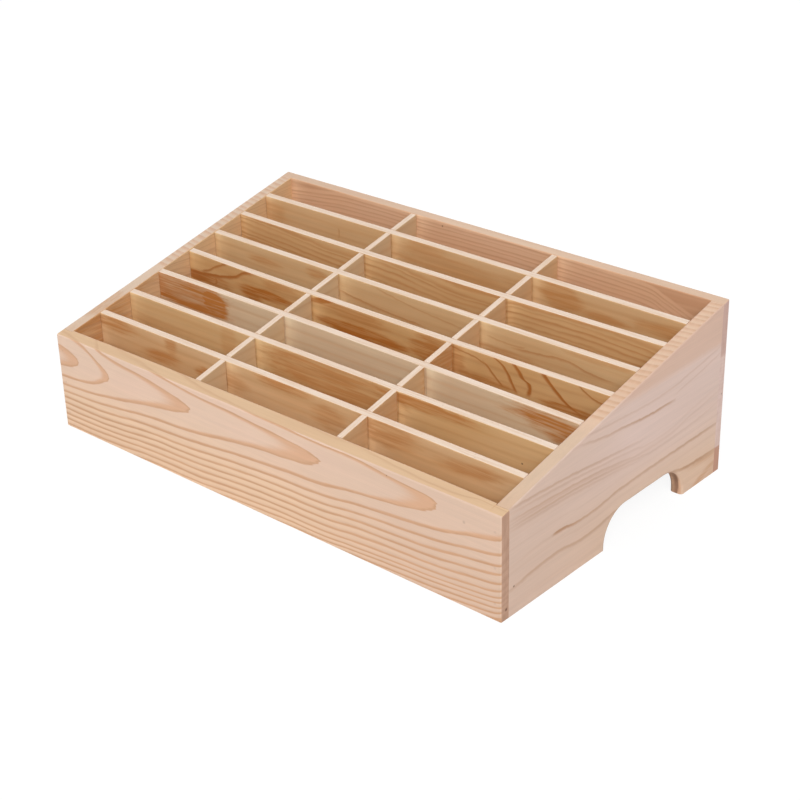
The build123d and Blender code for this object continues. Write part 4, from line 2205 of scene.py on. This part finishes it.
    def side_edge(self, name: str, sign: int) -> PineFinish:
        """Finish of a side board's edges: fine straight rings, and another tone near the front.

        Args:
            name: The material's name.
            sign: -1 for the left board, +1 for the right one.

        Returns:
            The finish.
        """
        near_front = ((-40, 1), (-24, 0))
        right = PineFinish(
            name, Runs.FRONT_TO_BACK, replace(self.side_rings(sign), wander=0.06), srgb(225, 192, 166),
            srgb(196, 148, 116), srgb(222, 184, 155), ring_depth=0.42, warmth=0.45,
            warm=srgb(222, 178, 144), band=0.75, zones=(Zone(srgb(217, 188, 162), by_place=near_front),),
            seed=3.5 + sign,
        )
        if sign > 0:
            return right
        return replace(
            right, early=srgb(222, 197, 175), blush=srgb(224, 195, 170),
            zones=(Zone(srgb(221, 195, 172), by_place=near_front),),
            stains=(Stain(-70, 76, 14, 12, 0.4, ragged=1),),
        )

    def side(self, name: str, sign: int) -> Materials:
        """Finishes of a side board.

        Args:
            name: The face material's name, which the others' names begin with.
            sign: -1 for the left board, +1 for the right one.

        Returns:
            Materials for face, edge and end grain.
        """
        rings = LevelRings(
            marks=(-20, 34, 88), drifts=((20, ((-110, 0), (110, 0))),),
            face=sign * self.sizes.half_width, tilt=-8 * sign, width=11, fall=0.3, wander=1.5,
        )
        early, late = srgb(224, 182, 152), srgb(140, 98, 78)
        end = EndGrainFinish(f"{name}_end", Runs.FRONT_TO_BACK, rings, early, late, ring_depth=0.7)
        return self.side_face(name, sign).build(), self.side_edge(f"{name}_edge", sign).build(), end.build()

    def cross_divider(self, row: int) -> Materials:
        """Finishes of a cross divider: its face with its own figure, painted bounce light and dark joint
        lines of dust and painted shadow, and its sawn edge.

        Args:
            row: Which divider, 0 the front one.

        Returns:
            Materials for face, edge and end grain.
        """
        s = self.sizes
        figure, place = CROSS_FIGURES[row], s.cross_places[row]
        top = s.top_at(place)
        # Joint lines of dust and painted shadow in the corners where the cross divider meets each left wall.
        gap = self.joint_shade_gap
        joints = [long + s.divider_thickness / 2 + gap for long in s.long_places]
        dust_and_shade_seams = tuple(DustAndShadeSeam(joint) for joint in (*joints, gap - s.inner_half_width))
        specks = tuple(replace(speck, height=top + speck.height) for speck in figure.specks)
        lines = tuple(replace(k, points=tuple((u, top + v) for u, v in k.points)) for k in figure.lines)
        # Painted bounce light: the early wood made paler beside each compartment's left wall.
        painted_bounce_colour = tuple(share * lift for share, lift in zip(figure.early, self.painted_bounce_lift))
        face = PineFinish(
            f"cross_pine_{row + 1}", Runs.SIDE_TO_SIDE,
            LevelRings(
                marks=tuple(top + mark for mark in figure.marks), drifts=((top, figure.drift),), face=place,
                width=figure.width, wander=figure.wander,
            ),
            figure.early, figure.line, figure.blush, heart=figure.heart, ring_depth=figure.ring_depth,
            band=figure.band, blush_share=0.8, streaks=0.09,
            zones=(Zone(painted_bounce_colour, by_place=self.painted_bounce_walls()),),
            stains=tuple(replace(stain, height=top + stain.height) for stain in figure.stains), lines=lines,
            marks=specks + dust_and_shade_seams, fibre=0.06, shade=0.95, seed=10 + row,
        )
        edge = SawnEdge(f"cross_edge_{row + 1}", Runs.SIDE_TO_SIDE, seed=10 + row).build()
        return face.build(), edge, edge

    def long_divider(self, column: int) -> Materials:
        """Finishes of a long divider.

        Args:
            column: Which divider, 0 the left one.

        Returns:
            Materials for face, edge and end grain.
        """
        heartwood = (Stain(-12, 82, 15, 14, 0.75), Stain(-62, 66, 22, 10, 0.3))
        face = PineFinish(
            f"long_pine_{column + 1}", Runs.FRONT_TO_BACK,
            LevelRings(
                marks=tuple(30 + 8 * k + 1.5 * (k % 2) for k in range(11)),
                drifts=((60, ((-110, -6), (0, 0), (110, 9))),),
                face=self.sizes.long_places[column], width=3,
            ),
            (srgb(209, 179, 142), srgb(210, 173, 132))[column],
            srgb(180, 128, 84),
            (srgb(204, 170, 133), srgb(205, 163, 121))[column],
            ring_depth=0.25, band=0.6, fibre=0.06, stains=((), heartwood)[column], seed=30 + column,
        )
        edge = SawnEdge(f"long_edge_{column + 1}", Runs.FRONT_TO_BACK, seed=30 + column).build()
        return face.build(), edge, edge

    def floor(self) -> bpy.types.Material:
        """Finish of the floor panel, plain birch veneer.

        Returns:
            The material.
        """
        return PineFinish(
            "floor_ply", Runs.SIDE_TO_SIDE,
            LevelRings(marks=(20, 40), drifts=((30, ((-176, 0), (176, 0))),), face=0),
            srgb(220, 188, 146), srgb(190, 140, 96), srgb(214, 178, 134), ring_depth=0.1, seed=50,
        ).build()


def main() -> None:
    """Builds and dresses the rack piece by piece, then the studio round it."""
    logging.basicConfig(level=logging.INFO, format="%(name)s: %(message)s")
    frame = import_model()
    sizes = RackSizes.from_frame()
    finishes = Finishes(sizes)

    for piece in (*FrameBoards(sizes).dressed(finishes), *Lattice(sizes).dressed(finishes)):
        log.info("made %s", piece.name)
    panel = frame["nodes"]["floor_panel"]
    dress(panel, "floor_ply", finishes.floor())
    log.info("dressed %s", panel.name)
    steel = DrawnSteel().build()
    for name, node in frame["nodes"].items():
        if name.endswith("_brads"):
            dress(node, "brad_steel", steel)
            log.info("dressed %s", name)

    studio = Studio()
    studio.camera()
    for lamp in studio.lamps:
        lamp.hang(studio.aim)
    studio.surround()
    studio.floor()
    bpy.context.scene.view_settings.view_transform = "Standard"


if __name__ == "__main__":
    main()
